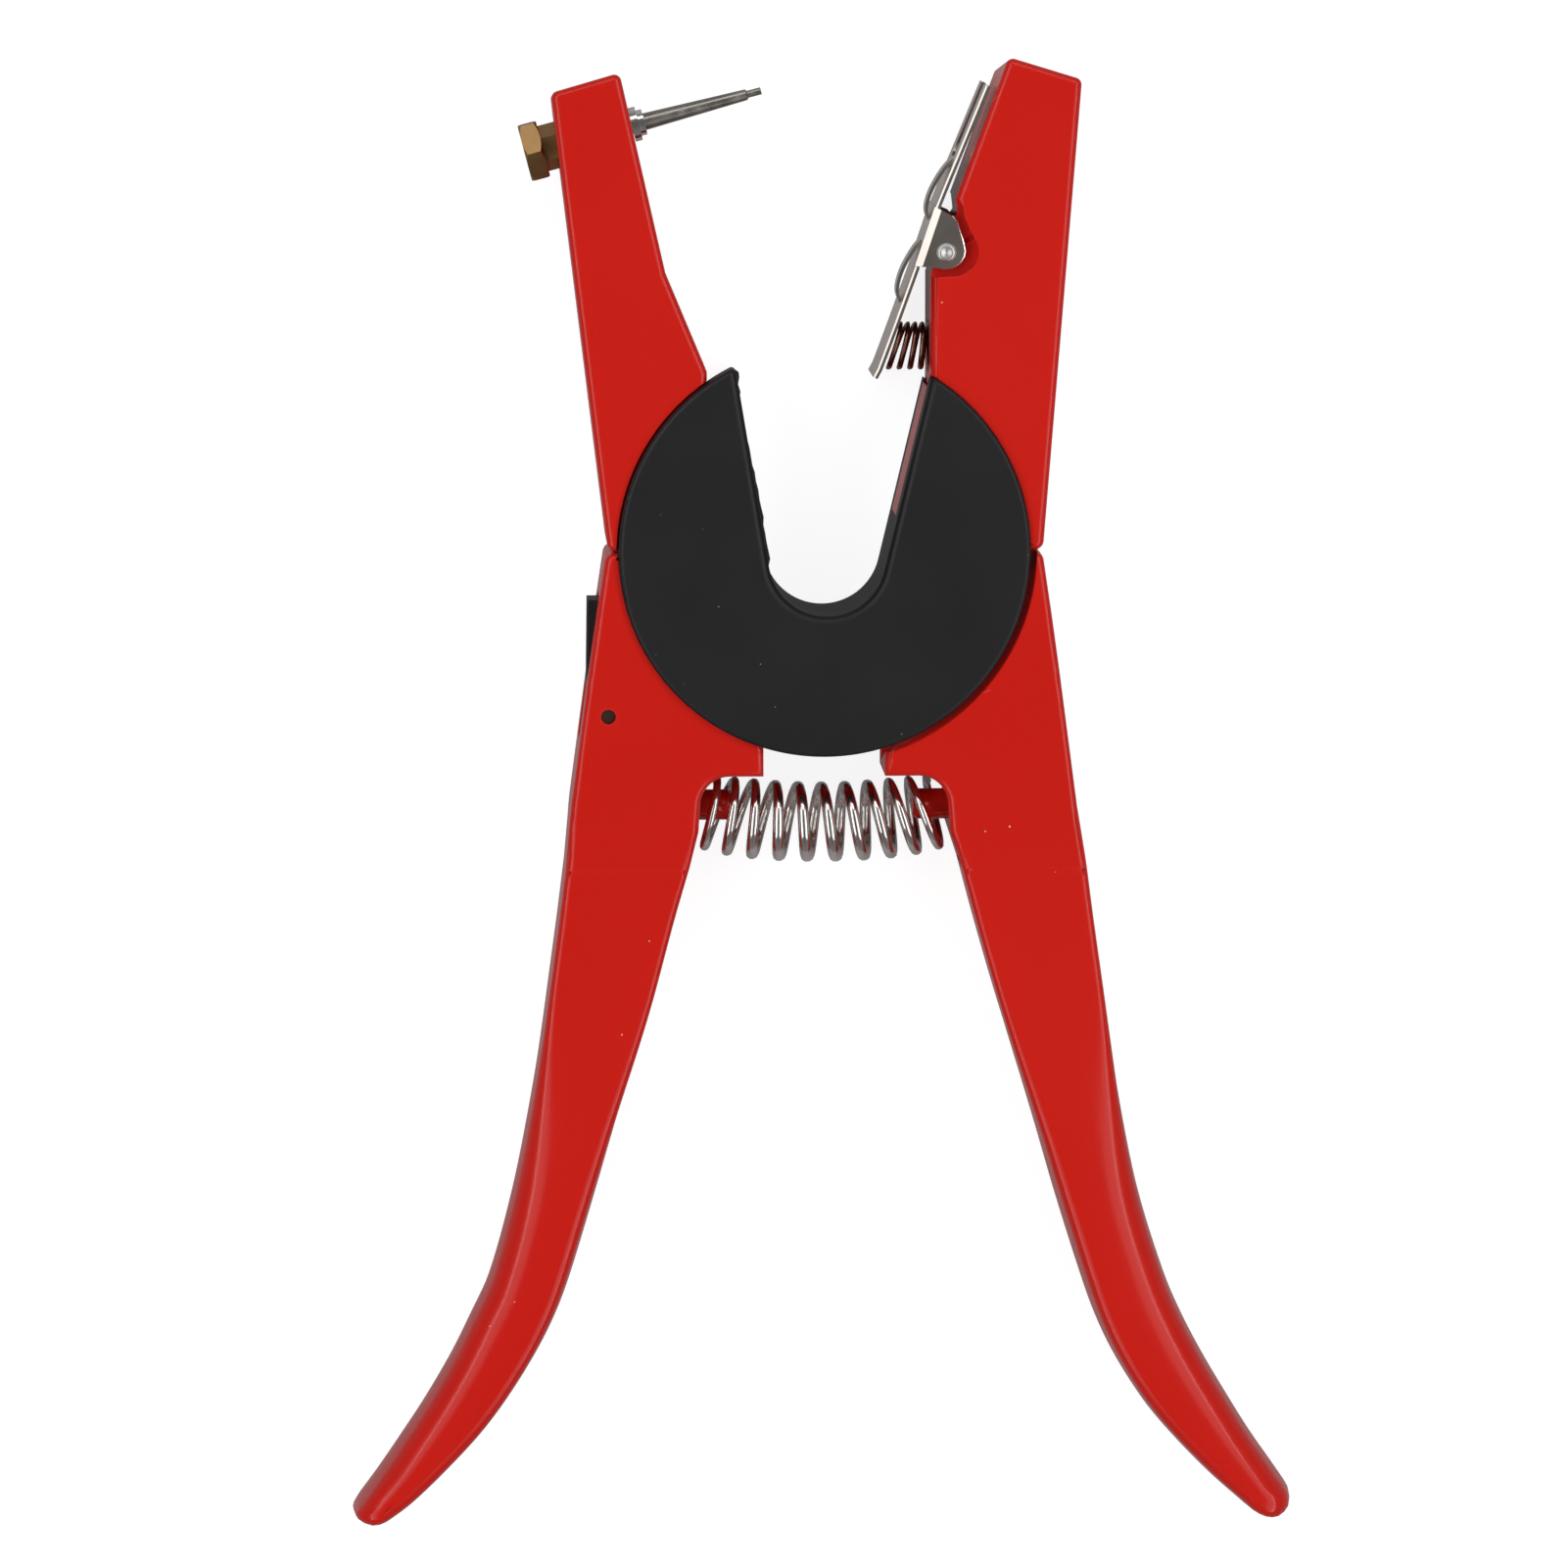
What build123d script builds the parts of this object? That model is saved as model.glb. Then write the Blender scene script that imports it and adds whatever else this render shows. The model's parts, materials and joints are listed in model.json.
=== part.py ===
from build123d import *
import os
from math import atan2, cos, degrees, hypot, radians, sin, sqrt, tan

# Ear-tag pliers with an open-throat hub, lying on their back.
# Millimetres. +X is to the right, +Y runs towards the jaws and +Z comes out of the front face.
# Everything is drawn about the pivot axis, and moved at the end so that the origin is at the
# middle of the footprint. "Left" and "right" are as seen from the front.

# Levers
BODY_THICKNESS = 20.0
JAW_REACH = 83.25
HANDLE_REACH = 168.6
HANDLE_SPREAD = 81.2
EDGE_ROUND = 1.2

# Anvil jaw, the right one
ANVIL_TIP_WIDTH = 12.3
ANVIL_TIP_SLOPE = 17.0
ANVIL_KINK = (22.1, 59.4)
ANVIL_LEAN = 20.2
ANVIL_TONGUE = ((22.4, 56.8), (20.1, 53.4))
ANVIL_HEEL_X = 17.9
ANVIL_HEEL_TOP = 46.4
ANVIL_FOOT_X = 36.9
ANVIL_END_DRAFT = 8.5

# Pin jaw, the left one
PIN_JAW_SHORTER = 2.6
PIN_TIP_WIDTH = 11.5
PIN_TIP_SLOPE = 16.2
PIN_KINK = (-26.7, 46.9)
PIN_LEAN = 12.8
PIN_INNER_FOOT = (-19.8, 30.4)
PIN_OUTER_FOOT_X = -36.5
PIN_END_DRAFT = 3.7
FOOT_ROUND = 1.6

# Handles, drawn for the right one. The waist, neck, palm and bend are stations between the root
# and the end: their shares of the way down and of the way out, and the width there.
SHOULDER_HALF = 36.8
ROOT_DROP = 47.6
ROOT_OUTER = 43.4
ROOT_WIDTH = 22.1
WAIST = (0.2298, 0.0973, 18.7)
NECK = (0.4822, 0.2270, 14.7)
PALM = (0.6597, 0.3730, 13.8)
BEND = (0.8068, 0.5919, 14.3)
END_SLANT = 5.4
END_WIDTH = 6.6
END_INNER_RISE = 2.2
END_HEEL = 3.4
END_CORNER_ROUND = 2.6

# Spring shoulder under the hub
SHOULDER_INNER_X = 10.3
SHOULDER_DROP = 38.2
POCKET_RADIUS = 5.0
POCKET_STEP = 0.3

# Hub
COVER_RADIUS = 34.7
BACK_COVER_RADIUS = 33.0
COVER_PROUD = 1.2
COVER_EDGE_ROUND = 0.7
THROAT_LIP_ROUND = 1.3
FRONT_SEAT_DEPTH = 4.5
BACK_SEAT_DEPTH = 4.0
PLATE_RADIUS = 31.5
LAYER_OVERLAP = 1.0
SEAT_GAP = 0.1
RUNNING_GAP = 0.08
LAP_GAP = 0.2
JAW_RIM_GAP = 0.4
HANDLE_RIM_GAP = 1.2
STOP_GAP = 0.3

# Throat
THROAT_RADIUS = 9.9
THROAT_OFFSET = (0.4, -1.0)
THROAT_LEFT_FLARE = 9.5
THROAT_RIGHT_FLARE = 13.5
COLLAR_WALL = 2.0
COLLAR_GAP = 0.4
COLLAR_RIM_GAP = 0.3
COLLAR_TOP_GAP = 0.1
COLLAR_RIGHT_TOP = 5.7

# Hub screws
BOSS_CIRCLE = 20.5
BOSS_RADIUS = 3.0
BOSS_ANGLES = (30.0, 150.0, 230.0, 310.0)
BOSS_GAP = 0.4
SCREW_RADIUS = 1.25
SCREW_LENGTH = 11.0
SCREW_HEAD_RADIUS = 2.5
SCREW_HEAD_HEIGHT = 1.6
SCREW_SINK = 0.5
SCREW_SLOT_WIDTH = 0.7
SCREW_END_GAP = 0.5

# Travel in degrees
CLOSING_TRAVEL = 27.0
LATCH_TRAVEL = 9.0

# Return spring
SPRING_DROP = 45.9
SPRING_RADIUS = 6.7
SPRING_WIRE = 1.8
SPRING_TURNS = 10
SPRING_END_GAP = 0.3
PEG_RADIUS = 3.7
PEG_LENGTH = 5.6
PEG_ROOT = 2.0
PEG_CHAMFER = 0.8

# Piercing pin, which stands on its own axis across the pin jaw
PIN_TILT = 14.7
PIN_BASE_DROP = 9.35
PIN_BASE_RADIUS = 1.45
PIN_END_RADIUS = 0.95
PIN_TIP_RADIUS = 0.62
PIN_LENGTH = 22.65
PIN_TIP_LENGTH = 2.6
PIN_TIP_STEP = 0.3
PIN_TANG_RADIUS = 1.6
PIN_TANG_LENGTH = 7.0
COLLAR_FLANGE_RADIUS = 2.9
COLLAR_FLANGE_HEIGHT = 1.2
COLLAR_SEAT_GAP = 0.12
COLLAR_STEP_RADIUS = 2.2
COLLAR_STEP_HEIGHT = 1.0
HEX_ACROSS_FLATS = 9.4
HEX_HEIGHT = 3.2
HEX_DISTANCE = 15.3
HEX_CORNER_CUT = 0.5
HEX_CORNER_REACH = 0.7
BUSH_ACROSS_FLATS = 6.8
BUSH_SINK = 2.0
SCREW_SHANK_RADIUS = 2.4
SCREW_SHANK_LENGTH = 5.0
SHANK_END_GAP = 0.5
FIT_GAP = 0.05

# Tag clip, drawn about its rivet with its plate upright. The slot starts and the upper loop lies
# at shares of the height above the rivet.
RIVET_AT = (20.5, 50.3)
RIVET_RADIUS = 1.2
RIVET_HEAD_RADIUS = 1.6
RIVET_HEAD_HEIGHT = 0.6
RIVET_DIMPLE_RADIUS = 0.7
RIVET_DIMPLE_DEPTH = 0.2
CLIP_TILT = 21.0
CLIP_WIDTH = 16.6
CLIP_SHEET = 1.0
CLIP_OFFSET = 3.4
CLIP_TIP_DROP = 6.25
CLIP_BOTTOM = 24.4
CLIP_SLOT_WIDTH = 6.0
CLIP_SLOT_START = 0.56
EAR_TOP = 6.6
EAR_BOTTOM = 4.2
EAR_CORNERS = ((-1.2, -3.3), (0.9, -3.3), (2.9, -1.7), (3.3, 0.6), (2.9, 2.4))
EAR_TOP_X = -0.2
LOOP_RISE = 1.6
LOOP_SHEET = 0.7
LOOP_WIDTH = 4.5
LOOP_FOOT = 1.2
UPPER_LOOP = (0.14, 0.514)
LOWER_LOOP = (-10.4, 0.2)
TONGUE_GAP = 0.3
EAR_POCKET_CENTRE = (0.9, 0.7)
EAR_POCKET_RADIUS = 4.25
EAR_POCKET_START = 60.0
EAR_POCKET_END = -70.0
EAR_POCKET_SLOPE = 23.8
EAR_POCKET_BACK = 12.0

# Clip spring
CLIP_SPRING_AT = 34.0
CLIP_SPRING_RADIUS = 4.1
CLIP_SPRING_WIRE = 0.8
CLIP_SPRING_TURNS = 5
CLIP_SEAT_DEPTH = 2.0
CLIP_SEAT_GAP = 0.4
CLIP_SPRING_CLEARANCE = 0.4
CLIP_SEAT_CLEARANCE = 0.1

# Storage latch in the left handle
LATCH_PIVOT = (-36.5, -27.8)
LATCH_TOP = -8.6
LATCH_PROUD = 2.2
LATCH_WIDTH = 7.0
LATCH_DEPTH = 4.4
LATCH_LEAN = 0.9
LATCH_TOP_TAPER = 0.8
LATCH_HEEL = 2.4
LATCH_NECK = 1.9
LATCH_ELBOW = (0.2, 4.0)
LATCH_GAP = 0.3
LATCH_TOP_GAP = 0.8
LATCH_WINDOW_REACH = 8.0
LATCH_PIN_RADIUS = 1.2
LATCH_PIN_SINK = 0.8
TOOTH_AT = -14.5
TOOTH_HEIGHT = 2.6
TOOTH_THICKNESS = 3.0
TOOTH_LEVEL = 8.0
TOOTH_ROOT = 1.5
TOOTH_GAP = 0.4
TOOTH_PLAY = 0.5
TOOTH_WAY = (13.0, 5.8)
TOOTH_WAY_OFFSET = (3.0, 0.8)
GROOVE_DEPTH = 2.6
LUG_WIDTH = 3.0

# Levels and places that follow from the sizes above
MID = BODY_THICKNESS / 2
FRONT_SEAT = BODY_THICKNESS - FRONT_SEAT_DEPTH
ANVIL_PLATE_BOTTOM = MID + LAP_GAP / 2
PIN_PLATE_TOP = MID - LAP_GAP / 2
PIN_PLATE_BOTTOM = BACK_SEAT_DEPTH + LAP_GAP
BORE_RADIUS = PLATE_RADIUS + RUNNING_GAP
POCKET_X = ROOT_OUTER - ROOT_WIDTH - POCKET_STEP
ANVIL_TIP_X = ANVIL_KINK[0] + (JAW_REACH - ANVIL_KINK[1]) * tan(radians(ANVIL_LEAN))
PIN_JAW_REACH = JAW_REACH - PIN_JAW_SHORTER
PIN_TIP_X = PIN_KINK[0] - (PIN_JAW_REACH - PIN_KINK[1]) * tan(radians(PIN_LEAN))
PIN_BASE_Y = PIN_JAW_REACH - PIN_BASE_DROP
PIN_BASE_X = PIN_KINK[0] - (PIN_BASE_Y - PIN_KINK[1]) * tan(radians(PIN_LEAN))
CLIP_TOP = (JAW_REACH - CLIP_TIP_DROP - RIVET_AT[1]) / cos(radians(CLIP_TILT))


def slab(face, low, high):
    """The plan face made solid between two heights."""
    return extrude(Pos(0, 0, low) * face, high - low)


def disc(radius, low, high, at=(0, 0)):
    return Pos(at[0], at[1], (low + high) / 2) * Cylinder(radius, high - low)


def polar(radius, angle):
    return (radius * cos(radians(angle)), radius * sin(radians(angle)))


def throat_face(extra, reach):
    """The open U of the throat, larger all round by extra and cut off at the given height."""
    radius = THROAT_RADIUS + extra
    x, y = THROAT_OFFSET
    left = (x - radius * cos(radians(THROAT_LEFT_FLARE)), y - radius * sin(radians(THROAT_LEFT_FLARE)))
    right = (x + radius * cos(radians(THROAT_RIGHT_FLARE)), y - radius * sin(radians(THROAT_RIGHT_FLARE)))
    top_left = (left[0] - (reach - left[1]) * tan(radians(THROAT_LEFT_FLARE)), reach)
    top_right = (right[0] + (reach - right[1]) * tan(radians(THROAT_RIGHT_FLARE)), reach)
    edges = [
        Line(top_left, left),
        ThreePointArc(left, (x, y - radius), right),
        Line(right, top_right),
        Line(top_right, top_left),
    ]
    return make_face(edges)


def outer_foot(face):
    """The outline's outer corner on the stop face, where a jaw and a handle meet."""
    return [v for v in face.vertices() if abs(v.Y) < STOP_GAP and abs(v.X) > COVER_RADIUS]


def handle_face():
    """Outline of the right handle from the stop face down."""

    def at(x, drop):
        return (x, -drop)

    end_drop = HANDLE_REACH - END_SLANT
    outer_points = [at(SHOULDER_HALF, STOP_GAP / 2), at(ROOT_OUTER, ROOT_DROP)]
    inner_points = [at(ROOT_OUTER - ROOT_WIDTH, ROOT_DROP)]
    for down, out, width in (WAIST, NECK, PALM, BEND):
        drop = ROOT_DROP + down * (end_drop - ROOT_DROP)
        outer_x = ROOT_OUTER + out * (HANDLE_SPREAD - ROOT_OUTER)
        outer_points.append(at(outer_x, drop))
        inner_points.append(at(outer_x - width, drop))
    end_inner_x = HANDLE_SPREAD - END_WIDTH
    outer_points.append(at(HANDLE_SPREAD, end_drop))
    inner_points.append(at(end_inner_x, HANDLE_REACH - END_INNER_RISE))
    bend_start = at(POCKET_X - POCKET_RADIUS, SHOULDER_DROP)
    bend_end = at(POCKET_X, SHOULDER_DROP + POCKET_RADIUS)
    bulge = POCKET_RADIUS * (1 - sqrt(0.5))
    bend_mid = at(POCKET_X - bulge, SHOULDER_DROP + bulge)
    heel = at(end_inner_x + END_HEEL, HANDLE_REACH)
    edges = [
        Spline(*outer_points),
        Line(outer_points[-1], heel),
        Line(heel, inner_points[-1]),
        Spline(*inner_points),
        Line(inner_points[0], bend_end),
        ThreePointArc(bend_end, bend_mid, bend_start),
        Line(bend_start, at(SHOULDER_INNER_X, SHOULDER_DROP)),
        Line(at(SHOULDER_INNER_X, SHOULDER_DROP), at(SHOULDER_INNER_X, STOP_GAP / 2)),
        Line(at(SHOULDER_INNER_X, STOP_GAP / 2), outer_points[0]),
    ]
    face = make_face(edges)
    face = fillet(face.vertices().sort_by(Axis.X)[-2:], END_CORNER_ROUND)
    return fillet(outer_foot(face), FOOT_ROUND)


def anvil_jaw_face():
    """Outline of the right jaw, from its tip down to the stop face."""
    tip_inner = (ANVIL_TIP_X, JAW_REACH)
    drop = ANVIL_TIP_WIDTH * tan(radians(ANVIL_TIP_SLOPE))
    tip_outer = (ANVIL_TIP_X + ANVIL_TIP_WIDTH, JAW_REACH - drop)
    corners = [
        tip_inner,
        tip_outer,
        (ANVIL_FOOT_X, STOP_GAP / 2),
        (ANVIL_HEEL_X, STOP_GAP / 2),
        (ANVIL_HEEL_X, ANVIL_HEEL_TOP),
        ANVIL_TONGUE[1],
        ANVIL_TONGUE[0],
        ANVIL_KINK,
    ]
    face = make_face(Polyline(*corners, close=True))
    return fillet(outer_foot(face), FOOT_ROUND)


def pin_jaw_face():
    """Outline of the left jaw, from its tip down to the stop face."""
    drop = PIN_TIP_WIDTH * tan(radians(PIN_TIP_SLOPE))
    corners = [
        (PIN_TIP_X, PIN_JAW_REACH),
        (PIN_TIP_X - PIN_TIP_WIDTH, PIN_JAW_REACH - drop),
        (PIN_OUTER_FOOT_X, STOP_GAP / 2),
        (PIN_INNER_FOOT[0], STOP_GAP / 2),
        PIN_INNER_FOOT,
        PIN_KINK,
    ]
    face = make_face(Polyline(*corners, close=True))
    return fillet(outer_foot(face), FOOT_ROUND)


def rounded_slab(face):
    """A lever blank with its rims rounded front and back."""
    blank = slab(face, 0, BODY_THICKNESS)
    rims = blank.faces().sort_by(Axis.Z)
    edges = rims[0].edges() + rims[-1].edges()
    return fillet(edges, EDGE_ROUND)


def rounded_jaw(face, tip, slope, draft):
    """A jaw blank with its end leaning back from the front rim, and all its edges rounded."""
    blank = slab(face, 0, BODY_THICKNESS)
    size = 4 * BODY_THICKNESS
    beyond = Pos(0, size / 2, 0) * Box(2 * size, size, 2 * size)
    blank = blank - Pos(tip[0], tip[1], BODY_THICKNESS) * Rot(0, 0, slope) * Rot(-draft, 0, 0) * beyond
    rims = blank.faces().sort_by(Axis.Z)
    edges = rims[0].edges() + rims[-1].edges()
    corners = [e for e in blank.edges() if e not in edges]
    return fillet(edges + ShapeList(corners).sort_by(Axis.Y)[-2:], EDGE_ROUND)


def anvil_jaw():
    tip = (ANVIL_TIP_X, JAW_REACH)
    return rounded_jaw(anvil_jaw_face(), tip, -ANVIL_TIP_SLOPE, ANVIL_END_DRAFT)


def pin_jaw():
    return rounded_jaw(pin_jaw_face(), (PIN_TIP_X, PIN_JAW_REACH), PIN_TIP_SLOPE, PIN_END_DRAFT)


def handle_blank(side):
    """The right handle with its rims rounded, or its mirror image on the left."""
    blank = rounded_slab(handle_face())
    return blank if side > 0 else mirror(blank, about=Plane.YZ)


def hub_bore(rim_gap):
    """What a lever loses to the hub: the seats of both covers and the other lever's layer."""
    back = disc(BACK_COVER_RADIUS + rim_gap, -1, BACK_SEAT_DEPTH)
    front = disc(COVER_RADIUS + rim_gap, FRONT_SEAT, BODY_THICKNESS + 1)
    middle = disc(BORE_RADIUS, BACK_SEAT_DEPTH, FRONT_SEAT)
    return back + middle + front


def return_peg(side):
    """Peg on a handle that the return spring sits round."""
    length = PEG_LENGTH + PEG_ROOT
    peg = Cylinder(PEG_RADIUS, length)
    tip = peg.faces().sort_by(Axis.Z)[-1]
    peg = chamfer(tip.edges(), PEG_CHAMFER)
    turn = Rot(0, -90 * side, 0)
    return Pos(side * (POCKET_X + PEG_ROOT - length / 2), -SPRING_DROP, MID) * turn * peg


def arc_slot(centre_angle, sweep, radius):
    """Cutter for a hole that is drawn out round the pivot by the closing travel."""
    x, y = polar(BOSS_CIRCLE, centre_angle)
    end_x, end_y = polar(BOSS_CIRCLE, centre_angle + sweep)
    outer = BOSS_CIRCLE + radius
    inner = BOSS_CIRCLE - radius
    edges = [
        ThreePointArc(
            polar(outer, centre_angle),
            polar(outer, centre_angle + sweep / 2),
            polar(outer, centre_angle + sweep),
        ),
        Line(polar(outer, centre_angle + sweep), polar(inner, centre_angle + sweep)),
        ThreePointArc(
            polar(inner, centre_angle + sweep),
            polar(inner, centre_angle + sweep / 2),
            polar(inner, centre_angle),
        ),
        Line(polar(inner, centre_angle), polar(outer, centre_angle)),
    ]
    band = slab(make_face(edges), 0, BODY_THICKNESS)
    first = disc(radius, 0, BODY_THICKNESS, (x, y))
    last = disc(radius, 0, BODY_THICKNESS, (end_x, end_y))
    return band + first + last


def along_pin(solid):
    """Moves a solid drawn along +Z from the pin's base onto the pin's axis."""
    return Pos(PIN_BASE_X, PIN_BASE_Y, MID) * Rot(0, 0, PIN_TILT) * Rot(0, 90, 0) * solid


def in_clip(solid):
    """Moves a solid drawn about the rivet, with the plate upright, to its place."""
    return Pos(RIVET_AT[0], RIVET_AT[1], 0) * Rot(0, 0, -CLIP_TILT) * solid


def ear_face():
    """Side view of a clip ear."""
    left = -CLIP_OFFSET - CLIP_SHEET / 2
    corners = [(left, -EAR_BOTTOM), *EAR_CORNERS, (EAR_TOP_X, EAR_TOP), (left, EAR_TOP)]
    return make_face(Polyline(*corners, close=True))


def clip_pocket_face():
    """Recess in each side of the anvil jaw that an ear swings in, from the jaw's kink down."""
    x, y = ANVIL_KINK[0] - RIVET_AT[0], ANVIL_KINK[1] - RIVET_AT[1]
    tilt = radians(CLIP_TILT)
    kink = (x * cos(tilt) - y * sin(tilt), x * sin(tilt) + y * cos(tilt))

    def on_arc(angle):
        at = radians(angle)
        radius = EAR_POCKET_RADIUS
        return (EAR_POCKET_CENTRE[0] + radius * cos(at), EAR_POCKET_CENTRE[1] + radius * sin(at))

    start = on_arc(EAR_POCKET_START)
    middle = on_arc((EAR_POCKET_START + EAR_POCKET_END) / 2)
    end = on_arc(EAR_POCKET_END)
    foot_y = end[1] - (end[0] + EAR_POCKET_BACK) * tan(radians(EAR_POCKET_SLOPE))
    edges = [
        Line((-EAR_POCKET_BACK, kink[1]), kink),
        Line(kink, start),
        ThreePointArc(start, middle, end),
        Line(end, (-EAR_POCKET_BACK, foot_y)),
        Line((-EAR_POCKET_BACK, foot_y), (-EAR_POCKET_BACK, kink[1])),
    ]
    return make_face(edges)


def tooth_tip_x():
    """Where the tip of the latch tooth stands when the latch is out."""
    return -sqrt((PLATE_RADIUS + TOOTH_GAP) ** 2 - (abs(TOOTH_AT) - TOOTH_HEIGHT / 2) ** 2)


def tooth_angle(turned):
    """Direction of the tooth tip as seen from the pivot, with the latch pressed in by some degrees."""
    x = tooth_tip_x() - LATCH_PIVOT[0]
    y = TOOTH_AT - LATCH_PIVOT[1]
    reach = hypot(x, y)
    angle = atan2(y, x) - radians(turned)
    tip_x = LATCH_PIVOT[0] + reach * cos(angle)
    tip_y = LATCH_PIVOT[1] + reach * sin(angle)
    return degrees(atan2(tip_y, tip_x)) % 360


def sector_face(radius, start, end):
    """A pie slice from the pivot."""
    edges = [
        Line((0, 0), polar(radius, start)),
        ThreePointArc(polar(radius, start), polar(radius, (start + end) / 2), polar(radius, end)),
        Line(polar(radius, end), (0, 0)),
    ]
    return make_face(edges)


def latch_window():
    """Slot through the left handle's outer edge that the latch rocks in."""
    low = LATCH_PIVOT[1] - LATCH_DEPTH
    high = LATCH_TOP + LATCH_TOP_GAP
    left = -SHOULDER_HALF - LATCH_WINDOW_REACH
    right = LATCH_PIVOT[0] + LATCH_DEPTH
    outline = Pos((left + right) / 2, (low + high) / 2) * Rectangle(right - left, high - low)
    width = LATCH_WIDTH / 2 + LATCH_GAP
    window = slab(outline, MID - width, MID + width)
    way = Box(TOOTH_WAY[0], TOOTH_WAY[1], TOOTH_THICKNESS + 2 * LATCH_GAP)
    way_x = tooth_tip_x() - TOOTH_WAY_OFFSET[0]
    return window + Pos(way_x, TOOTH_AT - TOOTH_WAY_OFFSET[1], TOOTH_LEVEL) * way


def anvil_lever():
    """Left handle and right jaw, joined by the front layer of the hub."""
    jaw = anvil_jaw()
    handle = handle_blank(-1)
    blank = jaw + handle - hub_bore(SEAT_GAP)
    plate = disc(PLATE_RADIUS + LAYER_OVERLAP, ANVIL_PLATE_BOTTOM, FRONT_SEAT)
    joined = blank + disc(PLATE_RADIUS, ANVIL_PLATE_BOTTOM, FRONT_SEAT) + (plate & (jaw + handle))
    throat = slab(throat_face(COLLAR_WALL + SEAT_GAP, COLLAR_RIGHT_TOP), -1, BODY_THICKNESS + 1)
    left_half = slab(throat_face(COLLAR_WALL + SEAT_GAP, 2 * COVER_RADIUS), -1, BODY_THICKNESS + 1)
    left_side = Box(2 * COVER_RADIUS, 4 * COVER_RADIUS, 2 * BODY_THICKNESS)
    left_half = left_half & Pos(-COVER_RADIUS, 0, MID) * left_side
    mouth = slab(throat_face(0, 2 * COVER_RADIUS), -1, BODY_THICKNESS + 1)
    hub = disc(COVER_RADIUS + SEAT_GAP, -1, BODY_THICKNESS + 1)
    joined = joined - ((throat + left_half + mouth) & hub)
    wall = slab(throat_face(COLLAR_WALL, 2 * COVER_RADIUS), BACK_SEAT_DEPTH, FRONT_SEAT) - mouth
    wall = wall & disc(PLATE_RADIUS + LAYER_OVERLAP, 0, BODY_THICKNESS)
    right_arm = Pos(COVER_RADIUS, COLLAR_RIGHT_TOP + COVER_RADIUS, MID)
    joined = joined + (wall & right_arm * Box(2 * COVER_RADIUS, 2 * COVER_RADIUS, BODY_THICKNESS))
    for angle in BOSS_ANGLES:
        at = polar(BOSS_CIRCLE, angle)
        joined = joined - disc(BOSS_RADIUS + SEAT_GAP, BACK_SEAT_DEPTH, BODY_THICKNESS, at)
    half = CLIP_WIDTH / 2 - CLIP_SHEET - TONGUE_GAP
    pocket = clip_pocket_face()
    joined = joined - in_clip(slab(pocket, MID + half, BODY_THICKNESS + 1))
    joined = joined - in_clip(slab(pocket, -1, MID - half))
    joined = joined - disc(RIVET_RADIUS + FIT_GAP, -1, BODY_THICKNESS + 1, RIVET_AT)
    seat = Rot(0, 90, 0) * Cylinder(CLIP_SPRING_RADIUS + CLIP_SEAT_GAP, 2 * CLIP_SEAT_DEPTH)
    joined = joined - Pos(ANVIL_HEEL_X, CLIP_SPRING_AT, MID) * seat
    joined = joined - latch_window()
    joined = joined - disc(LATCH_PIN_RADIUS + FIT_GAP, -1, BODY_THICKNESS + 1, LATCH_PIVOT)
    return joined + return_peg(-1)


def pin_lever():
    """Right handle and left jaw, joined by the back layer of the hub."""
    jaw = pin_jaw() - hub_bore(JAW_RIM_GAP)
    handle = handle_blank(1) - hub_bore(HANDLE_RIM_GAP)
    plate = disc(PLATE_RADIUS, PIN_PLATE_BOTTOM, PIN_PLATE_TOP)
    inside = disc(PLATE_RADIUS + LAYER_OVERLAP, PIN_PLATE_BOTTOM, PIN_PLATE_TOP)
    layer = plate + (inside & (pin_jaw() + handle_blank(1)))
    in_bore = disc(BORE_RADIUS, 0, BODY_THICKNESS)
    collar = slab(throat_face(COLLAR_WALL + COLLAR_GAP, 2 * COVER_RADIUS), 0, BODY_THICKNESS)
    sweep_steps = 4
    for step in range(sweep_steps + 1):
        layer = layer - (in_bore & Rot(0, 0, CLOSING_TRAVEL * step / sweep_steps) * collar)
    for angle in BOSS_ANGLES:
        layer = layer - arc_slot(angle, CLOSING_TRAVEL, BOSS_RADIUS + BOSS_GAP)
    half_tooth = degrees((TOOTH_HEIGHT / 2 + TOOTH_PLAY) / PLATE_RADIUS)
    groove_start = tooth_angle(0) - 2 * half_tooth
    groove_end = tooth_angle(LATCH_TRAVEL) + CLOSING_TRAVEL + 2 * half_tooth
    lug_end = tooth_angle(LATCH_TRAVEL) + CLOSING_TRAVEL - half_tooth
    lug_start = lug_end - degrees(LUG_WIDTH / PLATE_RADIUS)
    ring = disc(BORE_RADIUS, 0, MID) - disc(PLATE_RADIUS - GROOVE_DEPTH, 0, MID)
    for start, end in ((groove_start, lug_start), (lug_end, groove_end)):
        layer = layer - (ring & slab(sector_face(2 * PLATE_RADIUS, start, end), 0, MID))
    lever = jaw + handle + layer
    bush_hole = Cylinder(BUSH_ACROSS_FLATS / sqrt(3) + FIT_GAP, HEX_DISTANCE)
    pin_hole = Cylinder(PIN_TANG_RADIUS + FIT_GAP, 2 * PIN_TANG_LENGTH)
    holes = Pos(0, 0, -BUSH_SINK - HEX_DISTANCE / 2) * bush_hole + pin_hole
    return lever - along_pin(holes) + return_peg(1)


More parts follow.
